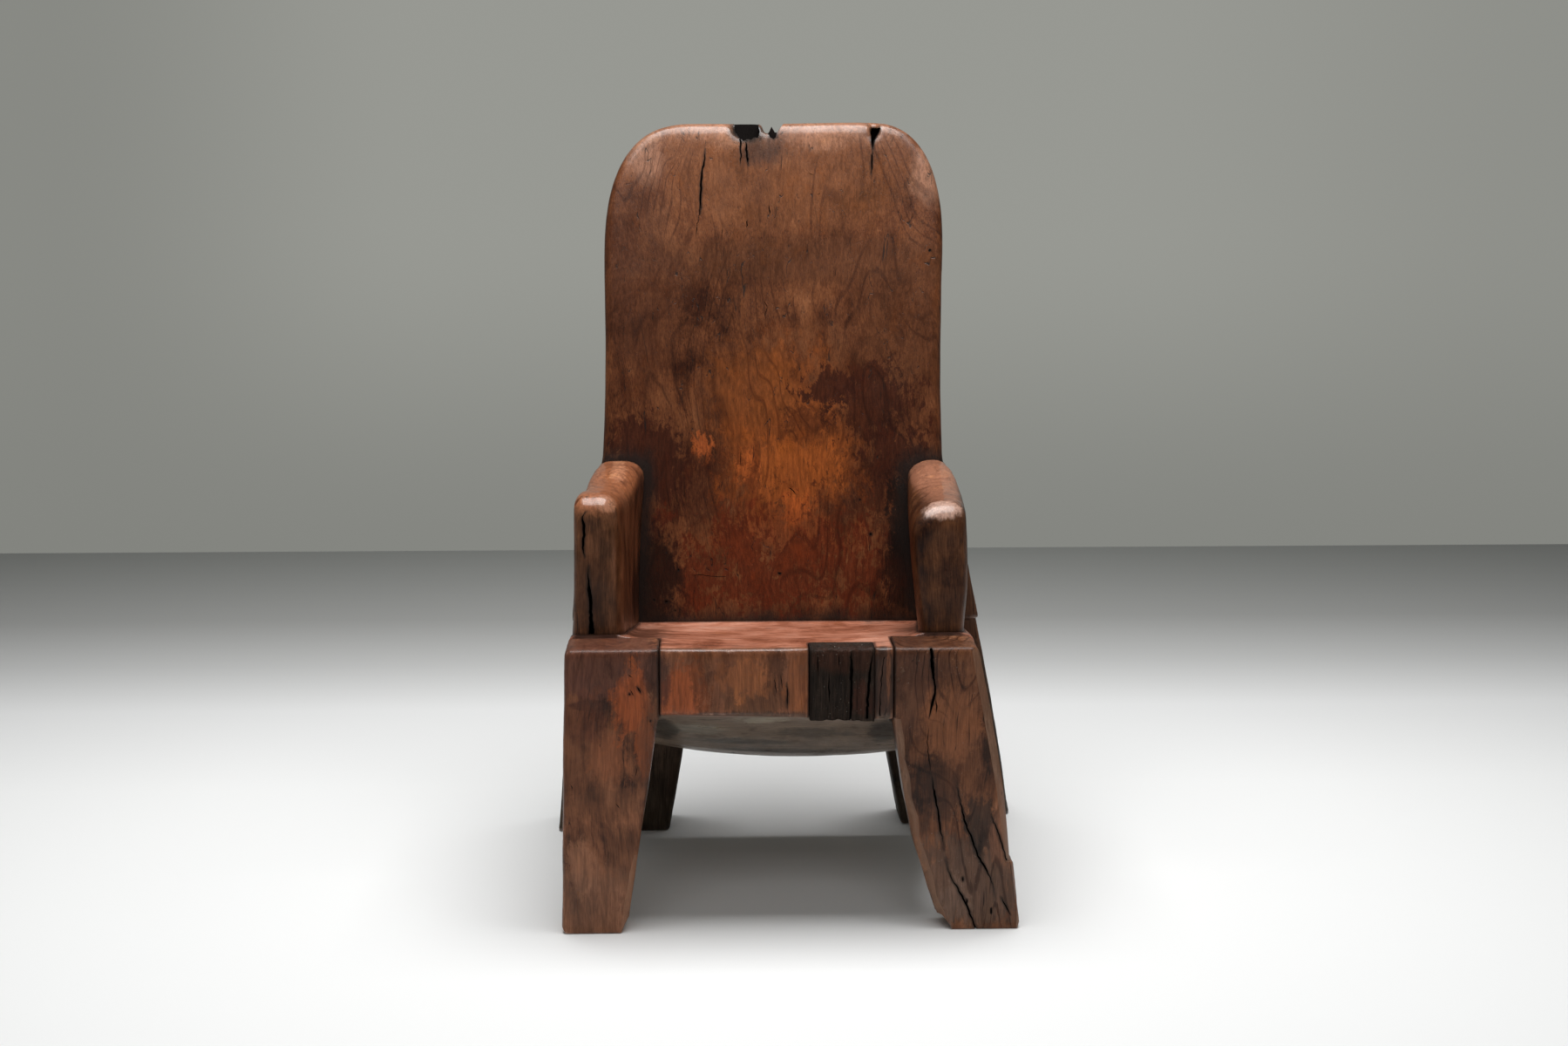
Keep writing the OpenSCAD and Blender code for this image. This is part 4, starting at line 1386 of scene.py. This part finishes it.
class Seat(Block):
    """The seat block: dished top, apron and grey belly."""

    def wood(self) -> Wood:
        """Reddish top, brown apron, pale weathered belly, with painted shade at its seams and beside the
        legs, arms and back, and a painted highlight in front of the back.

        Returns:
            The finish.
        """
        return Wood(
            "seat_hardwood", Grain.ACROSS,
            ((0.19, 0.058, 0.03), (0.34, 0.118, 0.066), (0.48, 0.19, 0.118), (0.6, 0.3, 0.21)),
            stains=(
                Stain((-40, -337, 385), (2000, 14, 102), (0.165, 0.06, 0.026), 0.9, 0.05, 0.8),
                *patches(-337, 20,
                    (-165, 338, 40, 44, (0.3, 0.07, 0.02), 0.85, 1.1, 0.2),
                    # Painted shade along the seam with the left leg.
                    (-192, 362, 14, 40, (0.045, 0.018, 0.014), 0.7, 0.9, 0.3),
                    (-60, 330, 50, 24, (0.1, 0.042, 0.02), 0.6, 1.3, 0.3),
                    (20, 372, 26, 18, (0.22, 0.085, 0.036), 0.5, 1.3, 0.3),
                    (24, 330, 16, 30, (0.06, 0.024, 0.012), 0.55, 1.3, 0.3),
                    (-137, 360, 18, 44, (0.07, 0.025, 0.010), 0.55, 1.4, 0.3),
                    (-78, 358, 44, 26, (0.3, 0.1, 0.036), 0.65, 1.4, 0.4),
                    (-36, 366, 18, 34, (0.06, 0.022, 0.010), 0.6, 1.4, 0.3),
                    (-6, 330, 24, 44, (0.27, 0.085, 0.03), 0.6, 1.4, 0.3),
                    (-90, 303, 130, 10, (0.045, 0.018, 0.009), 0.7, 0.6, 0.4),
                ),
                *patches(-337, 30,
                    (111, 350, 16, 70, (0.045, 0.022, 0.015), 0.95, 0.15, 0.8),
                    (117, 366, 3, 40, (0.2, 0.075, 0.036), 0.6, 0.6, 0.3),
                ),
                Stain((170, -337, 340), (50, 60, 60), (0.05, 0.02, 0.01), 0.6),
                Stain((0, 60, 200), (2600, 2400, 116), (0.165, 0.122, 0.088), 0.97, 0.04, 0.8),
                Stain((-150, -200, 256), (46, 60, 18), (0.2, 0.18, 0.14), 0.6, 0.9, 0.4),
                Stain((-62, -262, 284), (44, 40, 14), (0.27, 0.23, 0.17), 0.7, 0.9, 0.4),
                # Painted shade on the belly beside the left leg.
                Stain((-192, -180, 250), (22, 90, 50), (0.03, 0.024, 0.018), 0.85, 0.6, 0.4),
                Stain((-90, -150, 224), (90, 30, 12), (0.05, 0.04, 0.03), 0.7, 0.9, 0.4),
                Stain((20, -200, 250), (60, 40, 16), (0.06, 0.046, 0.034), 0.7, 0.9, 0.4),
                Stain((-20, -100, 196), (120, 30, 10), (0.05, 0.038, 0.028), 0.7, 0.8, 0.4),
                # Painted shade on the belly beside the right leg.
                Stain((120, -206, 256), (26, 90, 50), (0.03, 0.022, 0.017), 0.85, 0.6, 0.4),
                *patches(0, 500,
                    (-390, 330, 150, 110, (0.08, 0.034, 0.018), 0.9, 0.3, 0.3),
                    (390, 330, 150, 110, (0.08, 0.034, 0.018), 0.9, 0.3, 0.3),
                ),
                Stain((0, 420, 260), (900, 120, 260), (0.07, 0.036, 0.02), 0.85, 0.2),
                # Painted shade along the feet of the arms, a painted highlight in front of the back, and
                # painted shade where the back stands on the seat.
                Stain((-215, 0, 400), (50, 330, 40), (0.05, 0.018, 0.009), 0.75, 0.5),
                Stain((180, 40, 400), (50, 330, 40), (0.04, 0.015, 0.008), 0.75, 0.5),
                Stain((-20, 62, 402), (250, 20, 20), (0.5, 0.33, 0.26), 0.65, 0.5, 0.3),
                Stain((0, 90, 400), (330, 14, 40), (0.04, 0.014, 0.007), 0.7, 0.5),
            ),
            mottle=0.6, roughness=0.34, rubbed_above=380.0, front_grain=Grain.UPRIGHT,
            worn_highlight=(0.62, 0.38, 0.29), wear_highlight=0.75, streaks=1.3, bands=0.5, blotches=2.2, seed=41.0,
        )

    def hewing(self) -> Hewing:
        """Top rubbed smooth with use, which curls up to the left arm."""
        return Hewing(facet=0.9, facet_size=95, ripple=0.3, ripple_size=30, cove=4.0, cove_reach=20.0,
                      shade_reach=9, easing=5, seed=self.seed)

    def corners(self) -> tuple[str, ...]:
        """The arms and the back stand on the seat."""
        return ("left_arm", "right_arm", "backrest")

    def splits(self) -> tuple[Split, ...]:
        """Cracks of the apron, the rear and the belly.

        Returns:
            The cracks.
        """
        return (
            Split(((-22, 352), (-21, 336), (-22, 316)), 3.0, 7),
            Split(((-39, 363), (-37, 348), (-35, 334)), 2.0, 5),
            Split(((-31, 366), (-28, 350), (-27, 340)), 1.4, 4),
            Split(((112, 398), (109, 372), (106, 340), (105, 304)), 2.4, 8, open_end=True),
            Split(((-200, 330), (-60, 322), (80, 334), (190, 326)), 5, 18, Side.REAR),
            Split(((-120, 250), (20, 256), (140, 248)), 3, 10, Side.REAR),
            Split(((-90, -70), (-95, 90), (-86, 210)), 4, 12, Side.BELOW),
            Split(((52, -70), (66, 60), (58, 180)), 3, 10, Side.BELOW),
        )

    def pits(self) -> tuple[Pit, ...]:
        """Dents of the rear."""
        return (Pit((-70, 300), (3, 2.4, 2), Side.REAR), Pit((120, 290), (2, 3, 2), Side.REAR))


@dataclass
class Inset(Block):
    """The dark end-grain block let into the apron."""

    furrow: float = 3.4

    def wood(self) -> Wood:
        """Nearly black, dry end grain.

        Returns:
            The finish.
        """
        return Wood(
            "inset_hardwood", Grain.UPRIGHT,
            ((0.006, 0.004, 0.003), (0.014, 0.009, 0.006), (0.026, 0.016, 0.011), (0.05, 0.032, 0.023)),
            stains=patches(-337, 60,
                (60, 385, 60, 20, (0.05, 0.018, 0.010), 0.6),
                (80, 330, 20, 30, (0.05, 0.016, 0.009), 0.7, 0.8, 0.4),
            ),
            fibres=1.2, mottle=0.6, roughness=0.62, gloss=1.2, wax=0.02, worn_highlight=(0.07, 0.045, 0.032), wear_highlight=0.4,
            bump=0.9, dust=0.8, seed=51.0,
        )

    def hewing(self) -> Hewing:
        """Deep upright furrows."""
        return Hewing(facet=0.8, facet_size=40, ripple=0.5, ripple_size=12, furrow=self.furrow,
                      furrow_size=9, seed=self.seed)

    def splits(self) -> tuple[Split, ...]:
        """Its two long cracks.

        Returns:
            The cracks.
        """
        return (
            Split(((67, 397), (66, 350), (65, 300)), 6.0, 22, open_end=True),
            Split(((96, 397), (92, 372), (90, 349), (88, 325), (88, 300)), 5.5, 18, open_end=True),
            Split(((36, 370), (35, 345), (37, 318)), 2.4, 9),
            Split(((20, 392), (21, 360)), 2.0, 7),
            Split(((50, 392), (49, 372)), 2.4, 7),
        )


class Leg(Block):
    """A splayed leg."""

    def hewing(self) -> Hewing:
        """Adze cuts, with rot furrows near the floor where the leg has them."""
        return Hewing(facet=1.1, facet_size=75, ripple=0.4, ripple_size=22, furrow=0.9, furrow_size=9,
                      rotten_below=45, easing=5, seed=self.seed)


@dataclass
class FrontLeftLeg(Leg):
    """The front leg on the left of the photograph. Its sole's inner and outer edges are in mm."""

    sole: tuple[float, float] = (-243.0, -334.0)

    def wood(self) -> Wood:
        """Purple-brown above, orange on the right, brown below, with painted shade along the seam with the
        apron.

        Returns:
            The finish.
        """
        return Wood(
            "left_leg_hardwood", Grain.UPRIGHT,
            ((0.03, 0.010, 0.005), (0.13, 0.046, 0.020), (0.24, 0.092, 0.042), (0.4, 0.17, 0.088)),
            stains=(
                *patches(-337, 200,
                    (-270, 378, 110, 52, (0.1, 0.037, 0.024), 0.8, 0.5, 0.7),
                    (-318, 250, 26, 60, (0.1, 0.034, 0.014), 0.45, 0.9, 0.4),
                    (-262, 250, 34, 40, (0.25, 0.082, 0.034), 0.6, 1.0, 0.4),
                    (-250, 110, 30, 50, (0.1, 0.038, 0.017), 0.5, 0.9, 0.4),
                    (-300, 95, 26, 40, (0.34, 0.15, 0.08), 0.5, 0.9, 0.3),
                    (-232, 328, 32, 56, (0.3, 0.07, 0.02), 0.85, 0.9, 0.3),
                    (-212, 262, 16, 40, (0.24, 0.062, 0.02), 0.7, 0.9, 0.3),
                    # Painted shade along the seam with the apron.
                    (-204, 362, 14, 44, (0.05, 0.02, 0.014), 0.75, 0.8, 0.4),
                    (-280, 186, 60, 22, (0.1, 0.037, 0.016), 0.45, 0.9, 0.3),
                    (-285, 322, 34, 9, (0.03, 0.012, 0.008), 0.7, 0.4, 0.8),
                    (-300, 300, 36, 40, (0.12, 0.036, 0.018), 0.5),
                    (-285, 40, 90, 60, (0.19, 0.09, 0.052), 0.5),
                ),
                Stain((-200, -300, 200), (22, 300, 220), (0.07, 0.03, 0.016), 0.5),
            ),
            clouds=2.2, bands=1.0, streaks=0.5, blotches=2.4, fibres=0.6, mottle=0.9, roughness=0.34,
            worn_highlight=(0.62, 0.38, 0.29), wear_highlight=0.75, swirl=1.2, seed=61.0,
        )

    def splits(self) -> tuple[Split, ...]:
        """Fine checks, and cracks on the outer side and behind.

        Returns:
            The cracks.
        """
        return (
            Split(((-239, 366), (-231, 360)), 2.4, 3, ragged=0.2),
            Split(((-241, 350), (-238, 347)), 1.6, 2, ragged=0.2),
            Split(((-236, 345), (-232, 339), (-230, 334)), 1.8, 3, ragged=0.2),
            Split(((-226, 349), (-220, 338)), 3.0, 3, ragged=0.2),
            Split(((-230, 352), (-228, 347)), 1.4, 2, ragged=0.2),
            Split(((-226, 238), (-229, 222)), 1.6, 3, ragged=0.3),
            Split(((-257, 186), (-250, 177)), 2.2, 4, ragged=0.3),
            Split(((-318, 214), (-314, 204)), 2.2, 4, ragged=0.3),
            Split(((-250, 380), (-244, 290), (-252, 180), (-240, 60)), 4, 14, Side.LEFT),
            Split(((-180, 340), (-186, 230), (-178, 120)), 3, 9, Side.LEFT),
            Split(((-280, 360), (-286, 250), (-278, 120)), 3, 10, Side.REAR),
        )

    def pits(self) -> tuple[Pit, ...]:
        """Dents."""
        return (Pit((-236, 338), (1.0, 1.6, 1.4)), Pit((-208, 300), (0.9, 1.4, 1.2)))

    def chips(self) -> tuple[Chip, ...]:
        """The pale bevel up the inner corner, and the cut corners at the floor.

        Returns:
            The chips.
        """
        in_x, out_x = self.sole
        return (
            Chip(((in_x + 9, 112), (in_x + 3, 88), (in_x, 66), (in_x - 6, 40), (in_x - 9, 16),
                  (in_x - 12, -5), (in_x + 30, -5), (in_x + 34, 112)),
                 -337.5, -326, lean=(12, 0), fresh=True),
            Chip(((in_x - 9, -5), (in_x - 8, 2), (in_x - 3, 13), (in_x + 4, 26), (in_x + 30, 30),
                  (in_x + 30, -5)), -360, -250, lean=(3, 0), fresh=True),
            Chip(((out_x - 30, -5), (out_x + 10, -5), (out_x + 4, 5), (out_x - 1, 14), (out_x - 30, 18)),
                 -360, -250, fresh=True),
        )


@dataclass
class FrontRightLeg(Leg):
    """The front leg on the right of the photograph, split from seat to floor. Its inner edge at knee
    height and at the floor, and the bevel along it, are in mm."""

    inner_edge: Three = (125.4, 148.5, 193.5)
    bevel: float = 16.0

    def inner_at(self, share: float) -> float:
        """The inner edge's place, from knee height at 0 to the floor at 1."""
        top, middle, foot = self.inner_edge
        return top * (1 - share) ** 2 + (4 * middle - top - foot) * share * (1 - share) + foot * share ** 2

    def wood(self) -> Wood:
        """Dark brown with a curling figure, dry and grey near the floor.

        Returns:
            The finish.
        """
        return Wood(
            "right_leg_hardwood", Grain.UPRIGHT,
            ((0.022, 0.008, 0.004), (0.1, 0.036, 0.016), (0.19, 0.072, 0.032), (0.33, 0.14, 0.07)),
            stains=patches(-337, 200,
                (150, 385, 90, 40, (0.06, 0.022, 0.012), 0.6, 0.6, 0.5),
                (150, 345, 34, 80, (0.07, 0.027, 0.015), 0.75, 0.7, 0.3),
                (205, 290, 45, 60, (0.25, 0.09, 0.038), 0.6, 0.6, 0.3),
                (190, 200, 30, 50, (0.045, 0.018, 0.010), 0.6, 0.7, 0.6),
                (230, 70, 90, 80, (0.095, 0.054, 0.037), 0.8, 0.6, 0.3),
                (212, 40, 22, 40, (0.2, 0.12, 0.085), 0.5, 1.0, 0.4),
                (244, 143, 30, 42, (0.035, 0.018, 0.012), 0.85, 0.8, 0.5),
                (272, 130, 16, 40, (0.19, 0.08, 0.045), 0.7, 0.5, 0.4),
            ),
            clouds=2.0, bands=1.0, blotches=2.2, fibres=0.6, streaks=0.6, mottle=0.8, hairlines=0.9,
            figure=0.9, rings=240.0, swirl=1.6, dust=0.5, worn_highlight=(0.6, 0.37, 0.28), wear_highlight=0.75,
            fresh=(0.24, 0.13, 0.08), seed=71.0,
        )

    def hewing(self) -> Hewing:
        """Adze cuts, and rot furrows below knee height."""
        return Hewing(facet=1.3, facet_size=70, ripple=0.5, ripple_size=20, furrow=2.0, furrow_size=8,
                      rotten_below=100, easing=5, seed=self.seed)

    def splits(self) -> tuple[Split, ...]:
        """The long cracks down its front, and others on its sides.

        Returns:
            The cracks.
        """
        return (
            Split(((172, 296), (175, 312), (180, 330), (181, 344), (178, 362), (176, 384), (175, 397.5)),
                  6.4, 22, ragged=0.7, open_end=True),
            Split(((181, 330), (184, 318), (183, 306)), 2.4, 6),
            Split(((172, 296), (171, 262), (174, 239), (177, 218)), 1.3, 4),
            Split(((176, 226), (182, 193), (187, 167), (191, 142), (197, 112)), 4.4, 18),
            Split(((196, 104), (205, 76), (219, 52), (231, 27), (243, -4)), 3.8, 16, open_end=True),
            Split(((211, 216), (216, 187), (222, 160), (232, 133), (243, 106), (256, 82), (264, 63),
                   (269, 42)), 4.2, 16),
            Split(((274, 48), (282, 34), (290, 18)), 3.6, 12),
            Split(((258, 168), (267, 148), (275, 123), (283, 98)), 4.0, 10, open_end=True),
            Split(((-270, 360), (-262, 250), (-272, 140), (-264, 40)), 5, 16, Side.RIGHT),
            Split(((-190, 330), (-184, 220), (-192, 110)), 3, 10, Side.RIGHT),
            Split(((190, 340), (204, 230), (222, 110)), 3, 10, Side.REAR),
        )

    def pits(self) -> tuple[Pit, ...]:
        """Small holes of the rotten foot."""
        return (Pit((228, 40), (1.6, 4, 3)), Pit((262, 26), (1.4, 5, 3)), Pit((222, 72), (1.2, 3.4, 3)))

    def chips(self) -> tuple[Chip, ...]:
        """The step in its outer edge, the bevels down both edges, the cut corners and two small flakes.

        Returns:
            The chips.
        """
        edge, width, ragged = [], self.bevel, (0, 2.2, -1.5, 1.8, -0.6, 2.6, -2.0, 0.8, 2.4, -1.2, 1.6, 0)
        for k, wild in enumerate(ragged):
            share = k / (len(ragged) - 1)
            edge.append((self.inner_at(share) + width * (0.65 + 0.35 * share) + wild, 300 - 305 * share))
        outline = tuple(edge) + ((self.inner_at(1.0) - 30, -5), (self.inner_at(0.0) - 30, 300))
        return (
            Chip(((271, 250), (280, 180), (284, 140), (287.5, 97), (293, 93), (330, 90), (330, 250)),
                 -360, -250),
            Chip(outline, -337.5, -323, lean=(-width, 0), fresh=True),
            Chip(((227, 404), (233, 372), (239, 340), (249, 290), (258, 240), (267, 190), (273, 140),
                  (279, 96), (330, 94), (330, 404)), -337.5, -326, lean=(12, 0), fresh=True),
            Chip(((290, 92), (292, 50), (296, -5), (330, -5), (330, 92)), -337.5, -330, lean=(8, 0),
                 fresh=True),
            Chip(((170, -5), (211, -5), (206, 7), (195, 20), (170, 26)), -360, -250, lean=(-4, 0),
                 fresh=True),
            Chip(((297, -5), (302, 9), (320, 12), (320, -5)), -360, -250, fresh=True),
            Chip(((133, 366), (137, 371), (140, 366), (136, 362)), -345, -334, fresh=True),
            Chip(((128, 355), (131, 359), (133, 353), (130, 350)), -345, -334, fresh=True),
        )


class RearLeg(Leg):
    """A rear leg, dark and little seen."""

    def wood(self) -> Wood:
        """Nearly black brown: dark wood, darkened further as painted shade under the seat.

        Returns:
            The finish.
        """
        return Wood(
            self.node + "_hardwood", Grain.UPRIGHT,
            ((0.007, 0.005, 0.004), (0.020, 0.013, 0.009), (0.045, 0.028, 0.018), (0.09, 0.055, 0.036)),
            stains=(Stain((0, 250, 20), (600, 300, 50), (0.07, 0.05, 0.034), 0.6),
                    Stain((310, 132, 363), (90, 90, 90), (0.1, 0.042, 0.022), 0.8, 0.4, 0.3)),
            mottle=0.5, roughness=0.6, gloss=1.2, wax=0.02, seed=81.0 + self.seed,
        )

    def splits(self) -> tuple[Split, ...]:
        """Cracks on its outer side, behind and at its foot.

        Returns:
            The cracks.
        """
        left = self.node == "rear_left_leg"
        out, x, y = (Side.LEFT, -262, 215) if left else (Side.RIGHT, 262, 262)
        return (
            Split(((y - 30, 330), (y - 24, 220), (y - 34, 100), (y - 28, 20)), 4.5, 14, out),
            Split(((y + 24, 250), (y + 28, 160), (y + 20, 70)), 3, 9, out),
            Split(((x * 0.9, 330), (x * 0.96, 210), (x, 60)), 4, 12, Side.REAR),
            Split(((x * 0.98, 120), (x * 1.02, 60), (x, -2)), 2.6, 8, open_end=True),
        )


@dataclass
class Joinery:
    """The bare dowels, tenons and pegs inside the joints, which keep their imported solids."""

    nodes: tuple[str, ...]

    def build(self) -> None:
        """Gives each a material of pale split wood."""
        s = Shade("dowel_wood")
        at = s.place()
        along = s.vector("MULTIPLY", at, (1.0, 1.0, 0.15))
        streak = s.noise(along, 160.0, 4.0, 0.6, 5.0)
        fibre = s.noise(along, 700.0, 2.0, 0.6, 6.0)
        colour = s.mix(s.between(streak, 0.3, 0.7), (0.33, 0.19, 0.095), (0.5, 0.33, 0.19))
        colour = s.mix(s.between(fibre, 0.55, 0.75) * 0.5, colour, (0.2, 0.11, 0.055))
        bump = s.link("ShaderNodeBump", None,
                      {"Strength": 0.4, "Distance": 0.5 * MM, "Height": streak + fibre})
        material = s.close(s.link("ShaderNodeBsdfPrincipled", None, {
            "Base Color": colour, "Roughness": 0.6 + 0.2 * streak, "Normal": bump}))
        for name in self.nodes:
            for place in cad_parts[name].material_slots:
                place.material = material
            log.info("%s: dowel wood", name)


@dataclass
class Studio:
    """Pale floor, grey wall, soft lamps and the camera."""

    floor_half_width: float = 6.0
    floor_near: float = -6.0
    wall_at: float = 3.09
    wall_height: float = 5.0
    key_power: float = 113.0
    fill_power: float = 22.0
    sky: float = 0.135
    sky_seen: float = 0.29
    wall_low: Three = (0.234, 0.238, 0.219)
    wall_high: Three = (0.312, 0.316, 0.29)
    wall_aside: Three = (0.225, 0.229, 0.21)
    camera_at: Three = (-0.1373, -3.2382, 0.9916)
    camera_down: float = 8.222
    camera_right: float = 2.2
    lens: float = 50.0
    sensor: float = 36.0

    def build(self) -> None:
        """Makes the whole studio."""
        self.floor()
        self.wall()
        self.lamps()
        self.world()
        self.camera()

    @staticmethod
    def _sheet(name: str, corners: list[Three], material: bpy.types.Material) -> None:
        """One staged rectangle.

        Args:
            name: its name.
            corners: its four corners.
            material: its finish.
        """
        mesh = bpy.data.meshes.new(name)
        mesh.from_pydata(corners, [], [(0, 1, 2, 3)])
        mesh.materials.append(material)
        sheet = placed(name, mesh)

    def floor(self) -> None:
        """A matt floor whose colour darkens towards the wall, as painted falloff of the overhead light."""
        s = Shade("studio_floor")
        # Painted light falloff: the floor's colour is set by how far back it lies.
        depth = s.part(s.place(), "Y") * 0.25 + 0.25
        stops = [(0.0, (0.83, 0.83, 0.827)), (0.25, (0.87, 0.87, 0.866)), (0.36, (0.89, 0.89, 0.886)),
                 (0.51, (0.84, 0.84, 0.84)), (0.62, (0.62, 0.62, 0.615)), (0.75, (0.44, 0.44, 0.43)),
                 (1.0, (0.37, 0.375, 0.36))]
        shade = s.link("ShaderNodeValToRGB", {"stops": stops}, {"Fac": depth}, "Color")
        matt = s.link("ShaderNodeBsdfPrincipled", None,
                      {"Base Color": shade, "Roughness": 0.8, "Specular IOR Level": 0.2})
        w, near, wall = self.floor_half_width, self.floor_near, self.wall_at
        self._sheet("studio_floor", [(-w, near, 0), (w, near, 0), (w, wall, 0), (-w, wall, 0)],
                    s.close(matt))

    def wall(self) -> None:
        """A grey wall, a little darker at both sides and near the floor, as painted shade. The camera sees
        its own colour, and from behind it is clear, so that the chair's back can be looked at."""
        s = Shade("studio_wall")
        at = s.place()
        up, across = s.between(s.part(at, "Z"), 0.0, 0.95), s.part(at, "X")
        colour = s.mix(up, self.wall_low, self.wall_high)
        colour = s.mix((1 - s.between(across, -2.0, -0.9)) * 0.75, colour, self.wall_aside)
        colour = s.mix(s.between(across, 1.0, 2.4) * 0.45, colour, self.wall_aside)
        glow = s.link("ShaderNodeEmission", None, {"Color": colour, "Strength": 1.0})
        dull = s.link("ShaderNodeBsdfDiffuse", None, {"Color": (0.3, 0.3, 0.28, 1.0)})
        seen = s.link("ShaderNodeLightPath", output="Is Camera Ray")
        both = s.link("ShaderNodeMixShader", None, {0: seen, 1: dull, 2: glow})
        behind = s.link("ShaderNodeNewGeometry", output="Backfacing")
        clear = s.link("ShaderNodeBsdfTransparent")
        both = s.link("ShaderNodeMixShader", None, {0: behind, 1: both, 2: clear})
        w, y, h = self.floor_half_width, self.wall_at, self.wall_height
        self._sheet("studio_wall", [(-w, y, 0), (w, y, 0), (w, y, h), (-w, y, h)], s.close(both))

    @staticmethod
    def _lamp(name: str, place: Three, aim: Three, size: tuple[float, float], power: float,
              mirrored: bool = True) -> None:
        """One soft rectangular lamp.

        Args:
            name: its name.
            place: where its middle is.
            aim: the point that it faces.
            size: width and height in metres.
            power: watts.
            mirrored: if waxed wood shows it.
        """
        data = bpy.data.lights.new(name, "AREA")
        data.shape = "RECTANGLE"
        data.size, data.size_y = size
        data.energy = power
        lamp = placed(name, data)
        lamp.visible_glossy = mirrored
        lamp.location = place
        lamp.rotation_euler = (Vector(aim) - Vector(place)).to_track_quat("-Z", "Y").to_euler()

    def lamps(self) -> None:
        """A wide lamp overhead and a wide fill in front."""
        self._lamp("overhead", (0.0, -0.1, 3.1), (0.0, -0.1, 0.0), (2.3, 1.9), self.key_power)
        self._lamp("front_fill", (-0.3, -2.9, 3.0), (0.0, -0.2, 0.3), (3.0, 1.2), self.fill_power, False)

    def world(self) -> None:
        """An even pale sky."""
        world = bpy.data.worlds.new("studio")
        bpy.context.scene.world = world
        world.use_nodes = True
        tree = Tree(world.node_tree)
        strength = (tree.link("ShaderNodeLightPath", output="Is Camera Ray") * (self.sky_seen - self.sky)
                    + self.sky)
        glow = tree.link("ShaderNodeBackground", None,
                         {"Color": (0.94, 1.0, 0.98, 1.0), "Strength": strength})
        tree.node("ShaderNodeOutputWorld", None, {"Surface": glow})

    def camera(self) -> None:
        """The camera at the photograph's place."""
        data = bpy.data.cameras.new("photo_camera")
        data.lens = self.lens
        data.sensor_width = self.sensor
        data.sensor_fit = "HORIZONTAL"
        camera = placed("photo_camera", data)
        camera.location = self.camera_at
        camera.rotation_euler = (math.radians(90 - self.camera_down), 0.0, math.radians(-self.camera_right))
        scene = bpy.context.scene
        scene.camera = camera
        scene.view_settings.view_transform = "Standard"


def main() -> None:
    """Builds the studio and every sub-assembly in order."""
    logging.basicConfig(level=logging.INFO, format="%(name)s: %(message)s")
    Studio().build()
    shop = Workshop()
    blocks = [
        Seat("seat_block", "red_wood", grid=3.4, seed=4),
        Inset("apron_inset", "dark_wood", grid=1.6, seed=5),
        Backrest("backrest", "brown_wood", grid=3.7, seed=1),
        LeftArm("left_arm", "brown_wood", grid=2.8, seed=2),
        RightArm("right_arm", "brown_wood", grid=2.8, seed=3),
        FrontLeftLeg("front_left_leg", "red_wood", grid=2.8, seed=6),
        FrontRightLeg("front_right_leg", "brown_wood", grid=2.4, seed=7),
        RearLeg("rear_left_leg", "dark_wood", grid=3.0, seed=8),
        RearLeg("rear_right_leg", "dark_wood", grid=3.0, seed=9),
    ]
    for block in blocks:
        block.build(shop)
    Joinery(tuple(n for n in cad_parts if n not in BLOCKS)).build()


if __name__ == "__main__":
    main()
